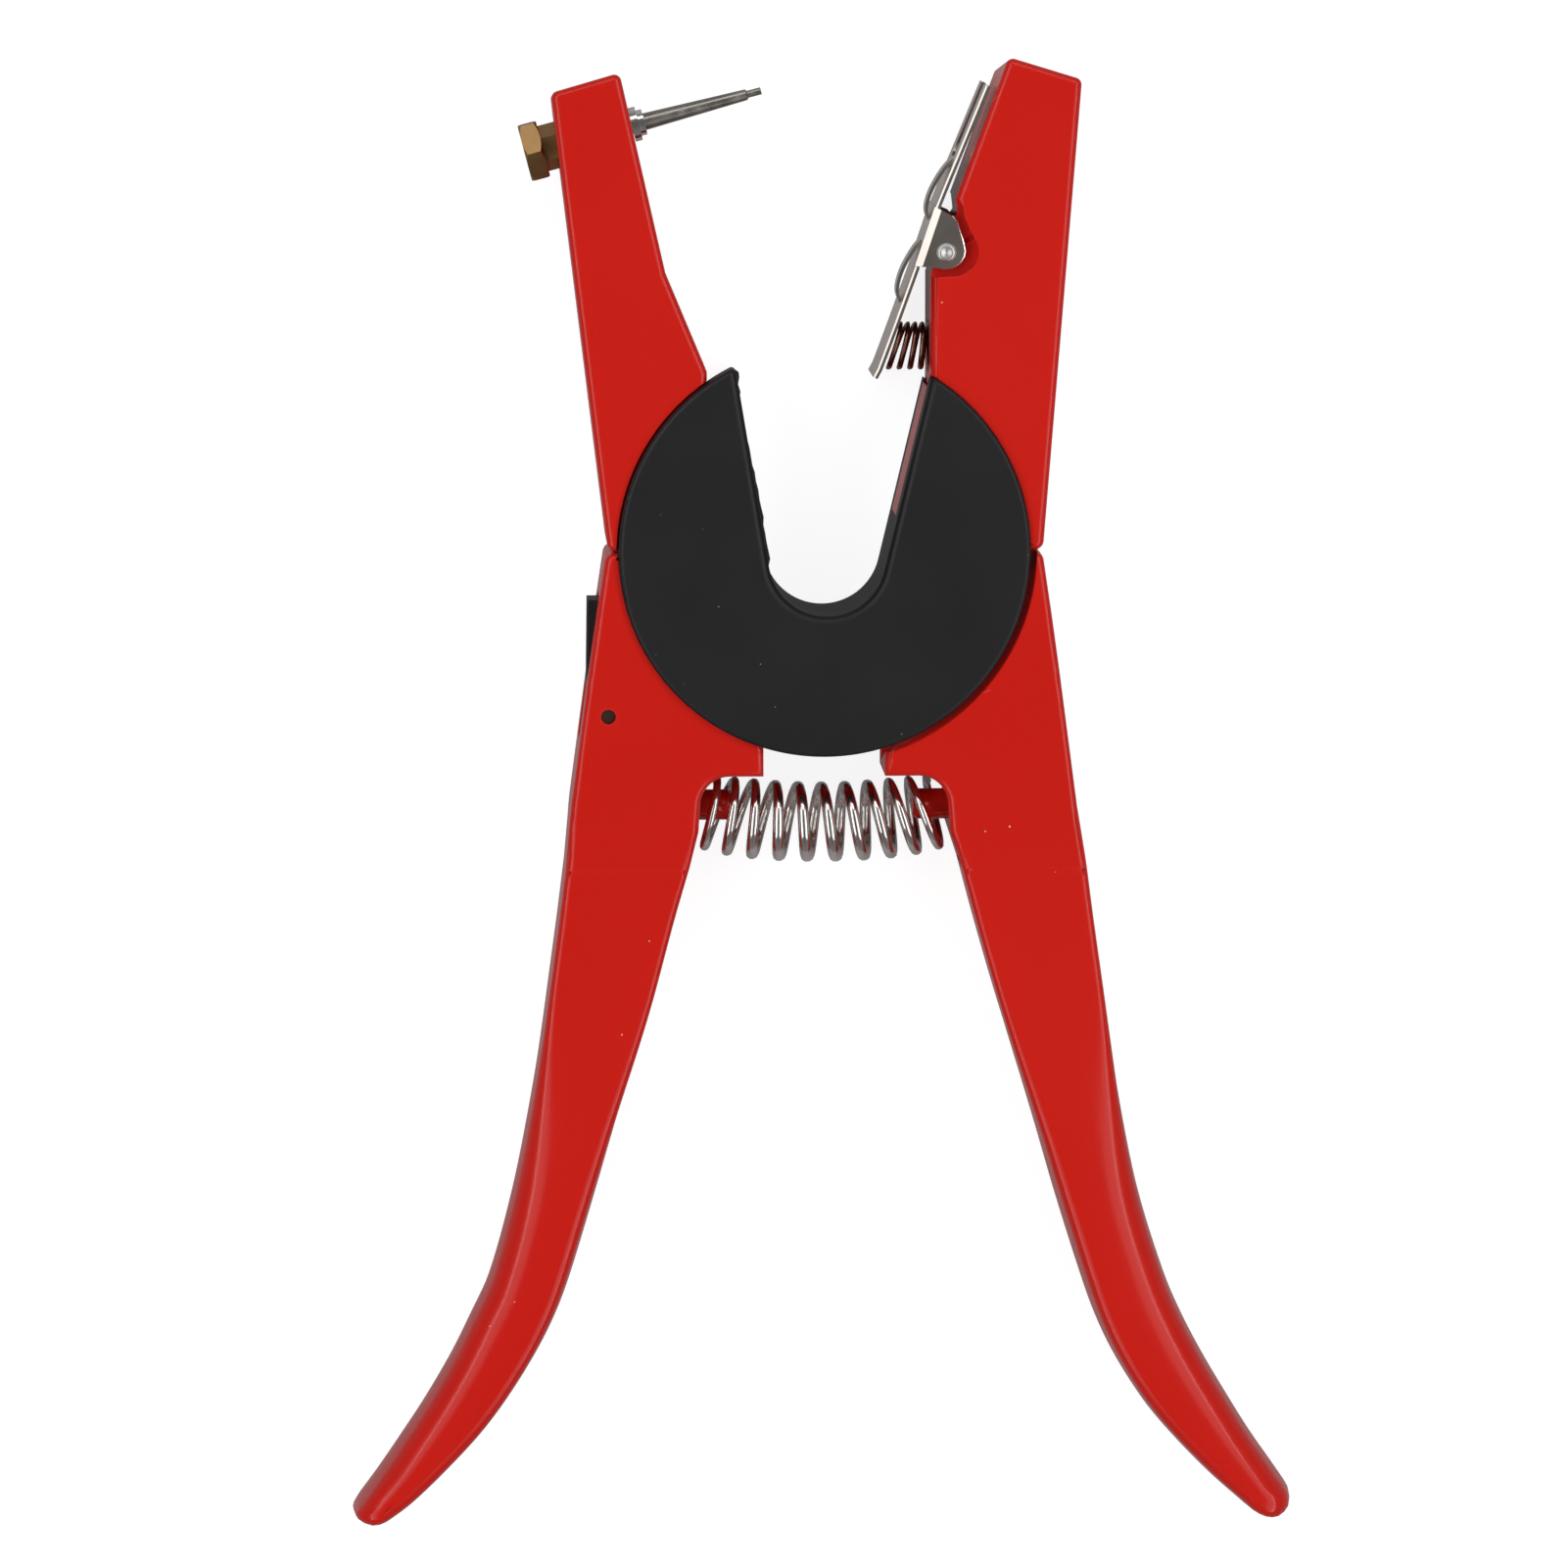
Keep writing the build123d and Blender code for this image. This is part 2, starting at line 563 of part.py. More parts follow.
def front_cover():
    cover = disc(COVER_RADIUS, FRONT_SEAT, BODY_THICKNESS + COVER_PROUD)
    cover = cover - slab(throat_face(0, 2 * COVER_RADIUS), 0, 2 * BODY_THICKNESS)
    top = cover.faces().sort_by(Axis.Z)[-1]
    rim = top.edges().sort_by(SortBy.LENGTH)[-1]
    lip = [e for e in top.edges() if e.length < rim.length]
    cover = fillet(lip, THROAT_LIP_ROUND)
    top = cover.faces().sort_by(Axis.Z)[-1]
    cover = fillet(top.edges().sort_by(SortBy.LENGTH)[-1], COVER_EDGE_ROUND)
    for angle in BOSS_ANGLES:
        cover = cover + disc(BOSS_RADIUS, BACK_SEAT_DEPTH, FRONT_SEAT, polar(BOSS_CIRCLE, angle))
    for angle in BOSS_ANGLES:
        depth = SCREW_SINK + SCREW_HEAD_HEIGHT + SCREW_LENGTH + SCREW_END_GAP
        cover = cover - disc(SCREW_RADIUS + FIT_GAP, 0, depth, polar(BOSS_CIRCLE, angle))
    return cover


def back_cover():
    """Flat cover on the back, with the collar that lines the throat."""
    cover = disc(BACK_COVER_RADIUS, 0, BACK_SEAT_DEPTH)
    cover = cover - slab(throat_face(0, 2 * COVER_RADIUS), -1, 2 * BODY_THICKNESS)
    wall = slab(throat_face(COLLAR_WALL, 2 * COVER_RADIUS), BACK_SEAT_DEPTH / 2, FRONT_SEAT)
    wall = wall - slab(throat_face(0, 3 * COVER_RADIUS), 0, BODY_THICKNESS)
    wall = wall & disc(PLATE_RADIUS - COLLAR_RIM_GAP, 0, BODY_THICKNESS)
    spare_y = COVER_RADIUS + COLLAR_RIGHT_TOP - COLLAR_TOP_GAP
    spare = Pos(COVER_RADIUS, spare_y, BODY_THICKNESS + BACK_SEAT_DEPTH)
    wall = wall - spare * Box(2 * COVER_RADIUS, 2 * COVER_RADIUS, 2 * BODY_THICKNESS)
    cover = cover + wall
    sink = SCREW_SINK + SCREW_HEAD_HEIGHT
    for angle in BOSS_ANGLES:
        at = polar(BOSS_CIRCLE, angle)
        cover = cover - disc(SCREW_RADIUS + FIT_GAP, -1, BACK_SEAT_DEPTH + 1, at)
        cover = cover - disc(SCREW_HEAD_RADIUS + SEAT_GAP, -1, sink, at)
    return cover


def cover_screw(at):
    head_top = SCREW_SINK + SCREW_HEAD_HEIGHT
    screw = disc(SCREW_HEAD_RADIUS, SCREW_SINK, head_top)
    screw = screw + disc(SCREW_RADIUS, head_top, head_top + SCREW_LENGTH)
    slot = Pos(0, 0, SCREW_SINK) * Box(2 * SCREW_HEAD_RADIUS, SCREW_SLOT_WIDTH, SCREW_HEAD_HEIGHT)
    return Pos(at[0], at[1], 0) * (screw - slot)


def coil(radius, wire, turns, length):
    """A helical spring along +Z from the origin, with its outer radius and overall length."""
    mean = radius - wire / 2
    pitch = (length - wire) / turns
    path = Helix(pitch, length - wire, mean)
    start = Plane(origin=path @ 0, z_dir=path % 0)
    return Pos(0, 0, wire / 2) * sweep(start * Circle(wire / 2), path, is_frenet=True)


def return_spring():
    half = POCKET_X - SPRING_END_GAP
    spring = Rot(0, 0, -90) * coil(SPRING_RADIUS, SPRING_WIRE, SPRING_TURNS, 2 * half)
    return Pos(-half, -SPRING_DROP, MID) * Rot(0, 90, 0) * spring


def clip_spring():
    top_of_coil = CLIP_SPRING_AT + CLIP_SPRING_RADIUS - RIVET_AT[1]
    plate_x = RIVET_AT[0] + top_of_coil * tan(radians(CLIP_TILT))
    start = plate_x - (CLIP_OFFSET - CLIP_SHEET / 2) / cos(radians(CLIP_TILT)) + CLIP_SPRING_CLEARANCE
    end = ANVIL_HEEL_X + CLIP_SEAT_DEPTH - CLIP_SEAT_CLEARANCE
    spring = coil(CLIP_SPRING_RADIUS, CLIP_SPRING_WIRE, CLIP_SPRING_TURNS, end - start)
    return Pos(start, CLIP_SPRING_AT, MID) * Rot(0, 90, 0) * spring


def piercing_pin():
    """Tapered steel pin with a stepped tip and a tang inside the jaw."""
    flange = COLLAR_SEAT_GAP + COLLAR_FLANGE_HEIGHT + COLLAR_STEP_HEIGHT
    taper_end = PIN_LENGTH - PIN_TIP_LENGTH
    profile = Polyline(
        (0, -PIN_TANG_LENGTH),
        (PIN_TANG_RADIUS, -PIN_TANG_LENGTH),
        (PIN_TANG_RADIUS, 0),
        (PIN_BASE_RADIUS, 0),
        (PIN_BASE_RADIUS, flange),
        (PIN_END_RADIUS, taper_end),
        (PIN_TIP_RADIUS, taper_end + PIN_TIP_STEP),
        (PIN_TIP_RADIUS, PIN_LENGTH),
        (0, PIN_LENGTH),
        close=True,
    )
    face = Plane.XZ * make_face(profile)
    return along_pin(revolve(face, Axis.Z))


def pin_collar():
    """Stepped bright collar that seats the pin on the jaw's inner face."""
    flange = Cylinder(COLLAR_FLANGE_RADIUS, COLLAR_FLANGE_HEIGHT)
    step = Cylinder(COLLAR_STEP_RADIUS, COLLAR_STEP_HEIGHT)
    step_at = COLLAR_SEAT_GAP + COLLAR_FLANGE_HEIGHT
    collar = Pos(0, 0, COLLAR_SEAT_GAP + COLLAR_FLANGE_HEIGHT / 2) * flange
    collar = collar + Pos(0, 0, step_at + COLLAR_STEP_HEIGHT / 2) * step
    collar = collar - Cylinder(PIN_BASE_RADIUS + FIT_GAP, PIN_LENGTH)
    return along_pin(collar)


def pin_bush():
    """Brass bush through the jaw, with six flats where it shows behind the jaw."""
    section = RegularPolygon(BUSH_ACROSS_FLATS / sqrt(3), 6, rotation=30)
    bush = extrude(section, HEX_DISTANCE - BUSH_SINK)
    bush = Pos(0, 0, -HEX_DISTANCE) * bush
    bush = bush - Cylinder(PIN_TANG_RADIUS + FIT_GAP, 2 * PIN_TANG_LENGTH)
    depth = HEX_DISTANCE - PIN_TANG_LENGTH + SHANK_END_GAP
    bore = Pos(0, 0, -HEX_DISTANCE + depth / 2) * Cylinder(SCREW_SHANK_RADIUS + FIT_GAP, depth)
    return along_pin(bush - bore)


def pin_screw():
    """Hex-headed brass screw that pulls the pin into its bush from behind."""
    head = extrude(RegularPolygon(HEX_ACROSS_FLATS / sqrt(3), 6), HEX_HEIGHT)
    dome_radius = HEX_ACROSS_FLATS / sqrt(3)
    dome = Pos(0, 0, HEX_HEIGHT / 2) * Cylinder(dome_radius, HEX_HEIGHT)
    dome = chamfer(dome.edges().filter_by(GeomType.CIRCLE), HEX_CORNER_CUT, HEX_CORNER_REACH)
    shank = Pos(0, 0, HEX_HEIGHT + SCREW_SHANK_LENGTH / 2) * Cylinder(SCREW_SHANK_RADIUS, SCREW_SHANK_LENGTH)
    screw = (head & dome) + shank
    return along_pin(Pos(0, 0, -HEX_DISTANCE - HEX_HEIGHT) * screw)


def tag_clip():
    """Sprung clip that holds the tag's socket half: a plate, two ears and two raised loops."""
    half = CLIP_WIDTH / 2
    centre = -CLIP_OFFSET
    outer = centre - CLIP_SHEET / 2
    height = CLIP_TOP + CLIP_BOTTOM
    middle = (CLIP_TOP - CLIP_BOTTOM) / 2
    plate = Pos(centre, middle, MID) * Box(CLIP_SHEET, height, CLIP_WIDTH)
    slot_bottom = CLIP_SLOT_START * CLIP_TOP
    slot_height = CLIP_TOP - slot_bottom
    slot = Box(4 * CLIP_SHEET, slot_height, CLIP_SLOT_WIDTH)
    slot = Pos(centre, CLIP_TOP - slot_height / 2, MID) * slot
    slot_end = Rot(0, 90, 0) * Cylinder(CLIP_SLOT_WIDTH / 2, 4 * CLIP_SHEET)
    plate = plate - slot - Pos(centre, slot_bottom, MID) * slot_end
    ears = slab(ear_face(), MID - half, MID - half + CLIP_SHEET)
    ears = ears + slab(ear_face(), MID + half - CLIP_SHEET, MID + half)
    ears = ears - disc(RIVET_RADIUS, 0, BODY_THICKNESS)
    clip = plate + ears
    upper_loop = (UPPER_LOOP[0] * CLIP_TOP, UPPER_LOOP[1] * CLIP_TOP)
    for low, high in (upper_loop, LOWER_LOOP):
        mid = (low + high) / 2
        inner = outer - LOOP_RISE + LOOP_SHEET
        arch = [
            ThreePointArc((outer, low), (outer - LOOP_RISE, mid), (outer, high)),
            Line((outer, high), (outer, high - LOOP_FOOT)),
            ThreePointArc((outer, high - LOOP_FOOT), (inner, mid), (outer, low + LOOP_FOOT)),
            Line((outer, low + LOOP_FOOT), (outer, low)),
        ]
        width = LOOP_WIDTH / 2
        clip = clip + slab(make_face(arch), MID - width, MID + width)
    return in_clip(clip)


def clip_rivet():
    """Tubular rivet through both ears and the jaw's tongue."""
    half = CLIP_WIDTH / 2
    rivet = disc(RIVET_RADIUS, MID - half, MID + half)
    for side in (-1, 1):
        low = MID + side * half
        high = low + side * RIVET_HEAD_HEIGHT
        head = disc(RIVET_HEAD_RADIUS, min(low, high), max(low, high))
        bottom = min(low, high) - RIVET_DIMPLE_DEPTH
        top = max(low, high) + RIVET_DIMPLE_DEPTH
        rivet = rivet + head - disc(RIVET_DIMPLE_RADIUS, bottom, top)
    return Pos(RIVET_AT[0], RIVET_AT[1], 0) * rivet


def lock_latch():
    """Rocker in the left handle: pressed in, its tooth stands behind the lug on the other lever."""
    outer_x = -SHOULDER_HALF - LATCH_PROUD - LATCH_LEAN
    corners = [
        (outer_x, LATCH_TOP),
        (outer_x + LATCH_DEPTH - LATCH_TOP_TAPER, LATCH_TOP),
        (LATCH_PIVOT[0] + LATCH_NECK, LATCH_PIVOT[1]),
        (LATCH_PIVOT[0], LATCH_PIVOT[1] - LATCH_HEEL),
        (LATCH_PIVOT[0] - LATCH_HEEL, LATCH_PIVOT[1]),
        (outer_x - LATCH_ELBOW[0], LATCH_PIVOT[1] + LATCH_ELBOW[1]),
    ]
    body = slab(make_face(Polyline(*corners, close=True)), MID - LATCH_WIDTH / 2, MID + LATCH_WIDTH / 2)
    root_x = outer_x + TOOTH_ROOT
    tooth = Box(tooth_tip_x() - root_x, TOOTH_HEIGHT, TOOTH_THICKNESS)
    tooth = Pos((tooth_tip_x() + root_x) / 2, TOOTH_AT, TOOTH_LEVEL) * tooth
    latch = body + tooth
    return latch - disc(LATCH_PIN_RADIUS + FIT_GAP, 0, BODY_THICKNESS, LATCH_PIVOT)


def latch_pin():
    return disc(LATCH_PIN_RADIUS, LATCH_PIN_SINK, BODY_THICKNESS - LATCH_PIN_SINK, LATCH_PIVOT)


pieces = {
    "anvil_lever": anvil_lever(),
    "pin_lever": pin_lever(),
    "front_cover": front_cover(),
    "back_cover": back_cover(),
    "cover_screws": Compound([cover_screw(polar(BOSS_CIRCLE, angle)) for angle in BOSS_ANGLES]),
    "return_spring": return_spring(),
    "piercing_pin": piercing_pin(),
    "pin_collar": pin_collar(),
    "pin_bush": pin_bush(),
    "pin_screw": pin_screw(),
    "tag_clip": tag_clip(),
    "clip_rivet": clip_rivet(),
    "clip_spring": clip_spring(),
    "lock_latch": lock_latch(),
    "latch_pin": latch_pin(),
}

overall = Compound(list(pieces.values())).bounding_box().center()
to_frame = Pos(-overall.X, -overall.Y, 0)
print(f"The pivot axis is at x {-overall.X:.4f}, y {-overall.Y:.4f} mm.")

os.makedirs("parts", exist_ok=True)
for name, piece in pieces.items():
    export_step(to_frame * piece, f"parts/{name}.step")
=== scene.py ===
import json
from math import cos, pi, radians, sin, tan

import bpy
from mathutils import Matrix, Vector


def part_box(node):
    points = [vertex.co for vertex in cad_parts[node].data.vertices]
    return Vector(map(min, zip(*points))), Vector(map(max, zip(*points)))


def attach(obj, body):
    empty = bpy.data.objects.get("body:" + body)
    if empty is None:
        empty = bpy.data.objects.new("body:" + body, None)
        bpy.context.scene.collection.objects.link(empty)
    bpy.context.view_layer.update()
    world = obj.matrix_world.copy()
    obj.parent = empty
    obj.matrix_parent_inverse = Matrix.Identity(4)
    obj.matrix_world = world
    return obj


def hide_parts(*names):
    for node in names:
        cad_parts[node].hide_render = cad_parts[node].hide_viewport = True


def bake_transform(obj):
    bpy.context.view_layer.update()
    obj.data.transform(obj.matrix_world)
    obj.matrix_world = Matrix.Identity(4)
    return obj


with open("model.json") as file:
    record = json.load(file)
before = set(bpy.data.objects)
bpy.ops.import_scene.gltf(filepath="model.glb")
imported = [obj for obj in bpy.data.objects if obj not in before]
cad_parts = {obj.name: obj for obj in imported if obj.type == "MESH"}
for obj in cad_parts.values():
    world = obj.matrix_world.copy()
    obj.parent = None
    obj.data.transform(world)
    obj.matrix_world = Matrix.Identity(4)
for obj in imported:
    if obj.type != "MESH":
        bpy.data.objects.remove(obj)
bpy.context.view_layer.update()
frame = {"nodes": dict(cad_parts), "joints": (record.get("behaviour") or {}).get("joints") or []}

MM = 0.001
PIVOT = Vector(frame["joints"][0]["pos_m"])

# Levers
# Two cast levers cross in the hub: each is one jaw, one half-thickness hub layer and one
# handle, stove-enamelled in a glossy signal red. The grips are rounded for the palm: their
# outer rims swell from a small radius under the spring to a full round at the end.
grip_top = PIVOT.y - 54 * MM
half_depth = 10 * MM
outline_step = 1.5 * MM

swell_start = PIVOT.y - 72 * MM
swell_length = 46 * MM
rim_round = 1.2 * MM
outer_round = 4.6 * MM
inner_round = 2.0 * MM
widest_round = 0.85
outer_crown = radians(24)
inner_crown = radians(6)
crown_end = 0.82
grip_belly = radians(10)
spine_share = 0.66
spine_stop = 3.2 * MM
round_steps = 6
crown_steps = (0.12, 0.3, 0.55, 1.0)

peg_reach = 3.8 * MM
peg_root = 3 * MM
peg_slimming = 0.7
peg_lift = 1.8 * MM
outer_side = 33 * MM
fitted_length = 6 * MM


def select_only(piece):
    """Leaves one piece selected and active."""
    bpy.ops.object.select_all(action="DESELECT")
    piece.select_set(True)
    bpy.context.view_layer.objects.active = piece


def apply_modifiers(piece):
    select_only(piece)
    for modifier in list(piece.modifiers):
        bpy.ops.object.modifier_apply(modifier=modifier.name)


def merged_copy(node, name):
    """A copy of a node's mesh with its loose triangles joined up."""
    piece = bpy.data.objects.new(name, frame["nodes"][node].data.copy())
    bpy.context.scene.collection.objects.link(piece)
    piece.data.materials.clear()
    select_only(piece)
    bpy.ops.object.mode_set(mode="EDIT")
    bpy.ops.mesh.select_all(action="SELECT")
    bpy.ops.mesh.remove_doubles(threshold=0.005 * MM)
    bpy.ops.mesh.dissolve_limited(angle_limit=radians(0.4))
    bpy.ops.object.mode_set(mode="OBJECT")
    return piece


def join_pieces(main, parts):
    """Makes the parts one object with the main piece."""
    select_only(main)
    for part in parts:
        part.select_set(True)
    bpy.ops.object.join()


def saw(piece, at, facing):
    """Cuts a piece at a plane, drops what is in front of it and closes the cut."""
    select_only(piece)
    bpy.ops.object.mode_set(mode="EDIT")
    bpy.ops.mesh.select_all(action="SELECT")
    bpy.ops.mesh.bisect(plane_co=at, plane_no=facing, use_fill=True, clear_outer=True)
    bpy.ops.object.mode_set(mode="OBJECT")


def shade(piece, angle=35):
    """Smooth shading with flats that stay flat."""
    select_only(piece)
    bpy.ops.object.shade_smooth_by_angle(angle=radians(angle))
    even = piece.modifiers.new("even shading", "WEIGHTED_NORMAL")
    even.keep_sharp = True
    apply_modifiers(piece)


def in_mm(points):
    """Flat points that are given in millimetres."""
    return [Vector(p) * MM for p in points]


def faired(points, step):
    """The same line with even steps along a smooth curve through its points."""
    line = []
    for i in range(len(points) - 1):
        p0, p1, p2, p3 = (points[min(max(k, 0), len(points) - 1)] for k in (i - 1, i, i + 1, i + 2))
        length = (p2 - p1).length
        before = (p1 - p0).length or length
        after = (p3 - p2).length or length
        start = (p2 - p0) * (length / (length + before)) if i > 0 else p2 - p1
        end = (p3 - p1) * (length / (length + after)) if i < len(points) - 2 else p2 - p1
        parts = max(1, round(length / step))
        for k in range(parts):
            t = k / parts
            s = 1 - t
            line.append(
                p1 * (s * s * (1 + 2 * t))
                + start * (s * s * t)
                + p2 * (t * t * (3 - 2 * t))
                - end * (t * t * s)
            )
    return line + [points[-1]]


def nearest_on(line, point):
    """The point of an open line that is nearest to the given one."""
    best = line[0]
    for a, b in zip(line, line[1:]):
        share = min(1, max(0, (point - a).dot(b - a) / (b - a).length_squared))
        q = a + (b - a) * share
        if (q - point).length < (best - point).length:
            best = q
    return best


def cut_blank(name, outline, low, high, layers=1):
    """A flat blank: an outline drawn as one face and extruded from one height to another."""
    bpy.ops.object.select_all(action="DESELECT")
    bpy.ops.mesh.primitive_circle_add(vertices=len(outline), radius=MM, fill_type="NGON")
    blank = bpy.context.active_object
    blank.name = name
    for v, p in zip(blank.data.vertices, outline):
        v.co = (p[0], p[1], low)
    bpy.ops.object.mode_set(mode="EDIT")
    bpy.ops.mesh.select_all(action="SELECT")
    for _ in range(layers):
        rise = (0, 0, (high - low) / layers)
        bpy.ops.mesh.extrude_region_move(TRANSFORM_OT_translate={"value": rise})
    bpy.ops.mesh.select_all(action="SELECT")
    bpy.ops.mesh.normals_make_consistent(inside=False)
    bpy.ops.object.mode_set(mode="OBJECT")
    return blank


def blend_number(first, second, share):
    """Goes from the first number to the second as the share rises from 0 to 1."""
    return first + (second - first) * share


def rim_profile(full_round, full_crown, room, swell):
    """Steps from the middle of the wall up over the rim: how far in, and how high."""
    belly = grip_belly * swell
    tilt = full_crown * swell
    radius = min(blend_number(rim_round, full_round, swell), widest_round * room)
    steep = pi / 2 - belly
    steps = []
    for k in range(round_steps):
        lean = blend_number(steep, tilt, k / (round_steps - 1))
        steps.append((radius * (sin(steep) - sin(lean)), radius * (cos(lean) - cos(steep))))
    start, height = steps[-1]
    end = crown_end * room
    for s in crown_steps:
        rise = tan(tilt) * (end - start) * (s - s * s + s**3 / 3)
        steps.append((blend_number(start, end, s), height + rise))
    wall = half_depth - steps[-1][1]
    over = wall * tan(belly / 2)
    lower = [(0, 0), (wall / 2 * tan(belly / 4), wall / 2)]
    return lower + [(draw + over, height + wall) for draw, height in steps]


def forge_grip(name, points, cut_x):
    """The grip below the cut: its outline extruded in layers, then each layer drawn in."""
    side = 1 if points[0][0] > 0 else -1
    near, far = sorted(cut_x, key=abs)
    line = [PIVOT.xy + p for p in in_mm(points)]
    line = [Vector((far, grip_top)), *line, Vector((near, grip_top))]
    outline = faired(line, outline_step)
    corner = max(range(len(outline)), key=lambda i: side * outline[i].x)
    heel = min(range(len(outline)), key=lambda i: outline[i].y)
    outer, inner = outline[: corner + 1], outline[heel:]
    spine = [p.lerp(nearest_on(inner, p), spine_share) for p in outer]
    end = (outline[corner] + outline[heel]) / 2
    spine = [q for q in spine if (q - end).length > spine_stop]
    targets = [nearest_on(spine, p) for p in outline]
    for _ in range(2):
        between = zip(targets, targets[1:], targets[2:])
        targets[1:-1] = [a * 0.25 + b * 0.5 + c * 0.25 for a, b, c in between]
    targets[0].y = targets[-1].y = grip_top
    profiles = []
    for i, p in enumerate(outline):
        t = min(1, max(0, (swell_start - p.y) / swell_length))
        across = min(1, max(0, (i - corner) / (heel - corner)))
        full_round = blend_number(outer_round, inner_round, across)
        full_crown = blend_number(outer_crown, inner_crown, across)
        inward = targets[i] - p
        steps = rim_profile(full_round, full_crown, inward.length, t * t * (3 - 2 * t))
        profiles.append((inward.normalized(), steps))
    layers = 2 * len(profiles[0][1]) - 2
    grip = cut_blank(name, outline, 0, MM * layers, layers)
    place = {(round(p.x, 7), round(p.y, 7)): i for i, p in enumerate(outline)}
    for v in grip.data.vertices:
        i = place[(round(v.co.x, 7), round(v.co.y, 7))]
        layer = round(v.co.z / MM) - layers // 2
        inward, steps = profiles[i]
        draw, height = steps[abs(layer)]
        x, y = outline[i] + inward * draw
        v.co = (x, y, PIVOT.z + (height if layer > 0 else -height))
    return grip


def dress_lever(node, name, body, points, outer_shift, inner_shift):
    """The lever in place of its node: its peg is slimmed and raised and its grip is rounded.

    The shifts move the casting's two sides at the cut to meet the grip's outline.
    """
    lever = merged_copy(node, name)
    low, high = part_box("return_spring")
    peg_y, peg_z = (low.y + high.y) / 2, (low.z + high.z) / 2
    for v in lever.data.vertices:
        y, z = v.co.y - peg_y, v.co.z - peg_z
        if low.x - peg_root < v.co.x < high.x + peg_root and y * y + z * z < peg_reach**2:
            v.co.y = peg_y + y * peg_slimming + peg_lift
            v.co.z = peg_z + z * peg_slimming
    saw(lever, (0, grip_top, 0), (0, -1, 0))
    for v in lever.data.vertices:
        if v.co.y < grip_top + fitted_length:
            v.co.x += outer_shift if abs(v.co.x) > outer_side else inner_shift
    cut_x = [v.co.x for v in lever.data.vertices if abs(v.co.y - grip_top) < 0.001 * MM]
    grip = forge_grip(name + "_grip", points, (min(cut_x), max(cut_x)))
    join_pieces(lever, [grip])
    shade(lever)
    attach(lever, body)
    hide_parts(node)
    return lever


# Each grip's outline, in millimetres from the pivot: down the outer side from the cut, round
# the end and back up the inner side.
left_grip = (
    (-45.2, -65.2), (-47.6, -82.0), (-50.5, -98.4), (-53.3, -111.6), (-57.1, -125.2), (-60.2, -132.0),
    (-63.6, -138.9), (-68.0, -146.5), (-71.9, -152.5), (-76.5, -159.3), (-79.7, -163.7), (-80.5, -165.1),
    (-80.1, -166.2), (-79.1, -166.9), (-77.6, -167.4), (-76.2, -167.4), (-74.8, -167.0), (-72.8, -165.8),
    (-69.6, -163.3), (-64.4, -158.3), (-58.1, -151.5), (-53.7, -145.6), (-49.0, -138.0), (-45.6, -131.2),
    (-43.1, -124.5), (-39.0, -110.9), (-35.0, -96.9), (-29.9, -79.6), (-25.4, -62.7),
)
right_grip = (
    (45.8, -63.2), (48.3, -80.1), (51.3, -97.6), (54.4, -111.7), (58.8, -125.6), (61.8, -132.6),
    (65.4, -139.5), (70.0, -147.3), (73.8, -153.4), (78.1, -159.6), (80.3, -163.0), (80.55, -164.3),
    (80.4, -165.4), (79.7, -166.4), (78.6, -167.2), (77.4, -167.4), (76.2, -167.3), (75.0, -166.9),
    (73.6, -166.2), (71.2, -164.2), (66.0, -159.5), (59.5, -152.7), (54.7, -146.8), (50.0, -139.2),
    (46.8, -132.4), (44.4, -125.7), (40.1, -112.1), (36.3, -99.0), (31.4, -82.6), (26.5, -65.6),
)
enamelled = [
    dress_lever("anvil_lever", "anvil_casting", "anvil_side", left_grip, 0.5 * MM, 0),
    dress_lever("pin_lever", "pin_casting", "pin_side", right_grip, 0.3 * MM, 0.5 * MM),
]


def start_material(name):
    """A material with its Principled shader, ready for nodes."""
    material = bpy.data.materials.new(name)
    material.use_nodes = True
    tree = material.node_tree
    return material, tree, tree.nodes["Principled BSDF"]


def add_node(tree, kind, **settings):
    """A shader node with its settings."""
    node = tree.nodes.new(kind)
    for key, value in settings.items():
        setattr(node, key, value)
    return node


def new_group(name, inputs, outputs):
    """A node group with named number inputs and outputs."""
    group = bpy.data.node_groups.new(name, "ShaderNodeTree")
    for label, value in inputs:
        socket = group.interface.new_socket(label, in_out="INPUT", socket_type="NodeSocketFloat")
        socket.default_value = value
    for label in outputs:
        group.interface.new_socket(label, in_out="OUTPUT", socket_type="NodeSocketFloat")
    return group, group.nodes.new("NodeGroupInput"), group.nodes.new("NodeGroupOutput")


def place_group(tree, group, **values):
    """A node group placed in a material with its own values."""
    node = add_node(tree, "ShaderNodeGroup", node_tree=group)
    for key, value in values.items():
        node.inputs[key].default_value = value
    return node


def mix_colour(tree, mask, first, second):
    """Goes from the first colour to the second as the mask rises. Either may be a socket."""
    mix = add_node(tree, "ShaderNodeMix", data_type="RGBA")
    tree.links.new(mask, mix.inputs[0])
    for socket, value in ((mix.inputs[6], first), (mix.inputs[7], second)):
        if isinstance(value, bpy.types.NodeSocket):
            tree.links.new(value, socket)
        else:
            socket.default_value = (*value, 1)
    return mix.outputs[2]


def spread(tree, value, low, high):
    """Goes evenly from low to high as a value rises from 0 to 1."""
    node = add_node(tree, "ShaderNodeMapRange", clamp=False)
    tree.links.new(value, node.inputs["Value"])
    node.inputs["To Min"].default_value = low
    node.inputs["To Max"].default_value = high
    return node.outputs["Result"]


def combine(tree, operation, first, second, clamp=False):
    """A sum, product or comparison of two values, of which the second may be a number."""
    node = add_node(tree, "ShaderNodeMath", operation=operation, use_clamp=clamp)
    for socket, value in zip(node.inputs, (first, second)):
        if isinstance(value, bpy.types.NodeSocket):
            tree.links.new(value, socket)
        else:
            socket.default_value = value
    return node.outputs[0]


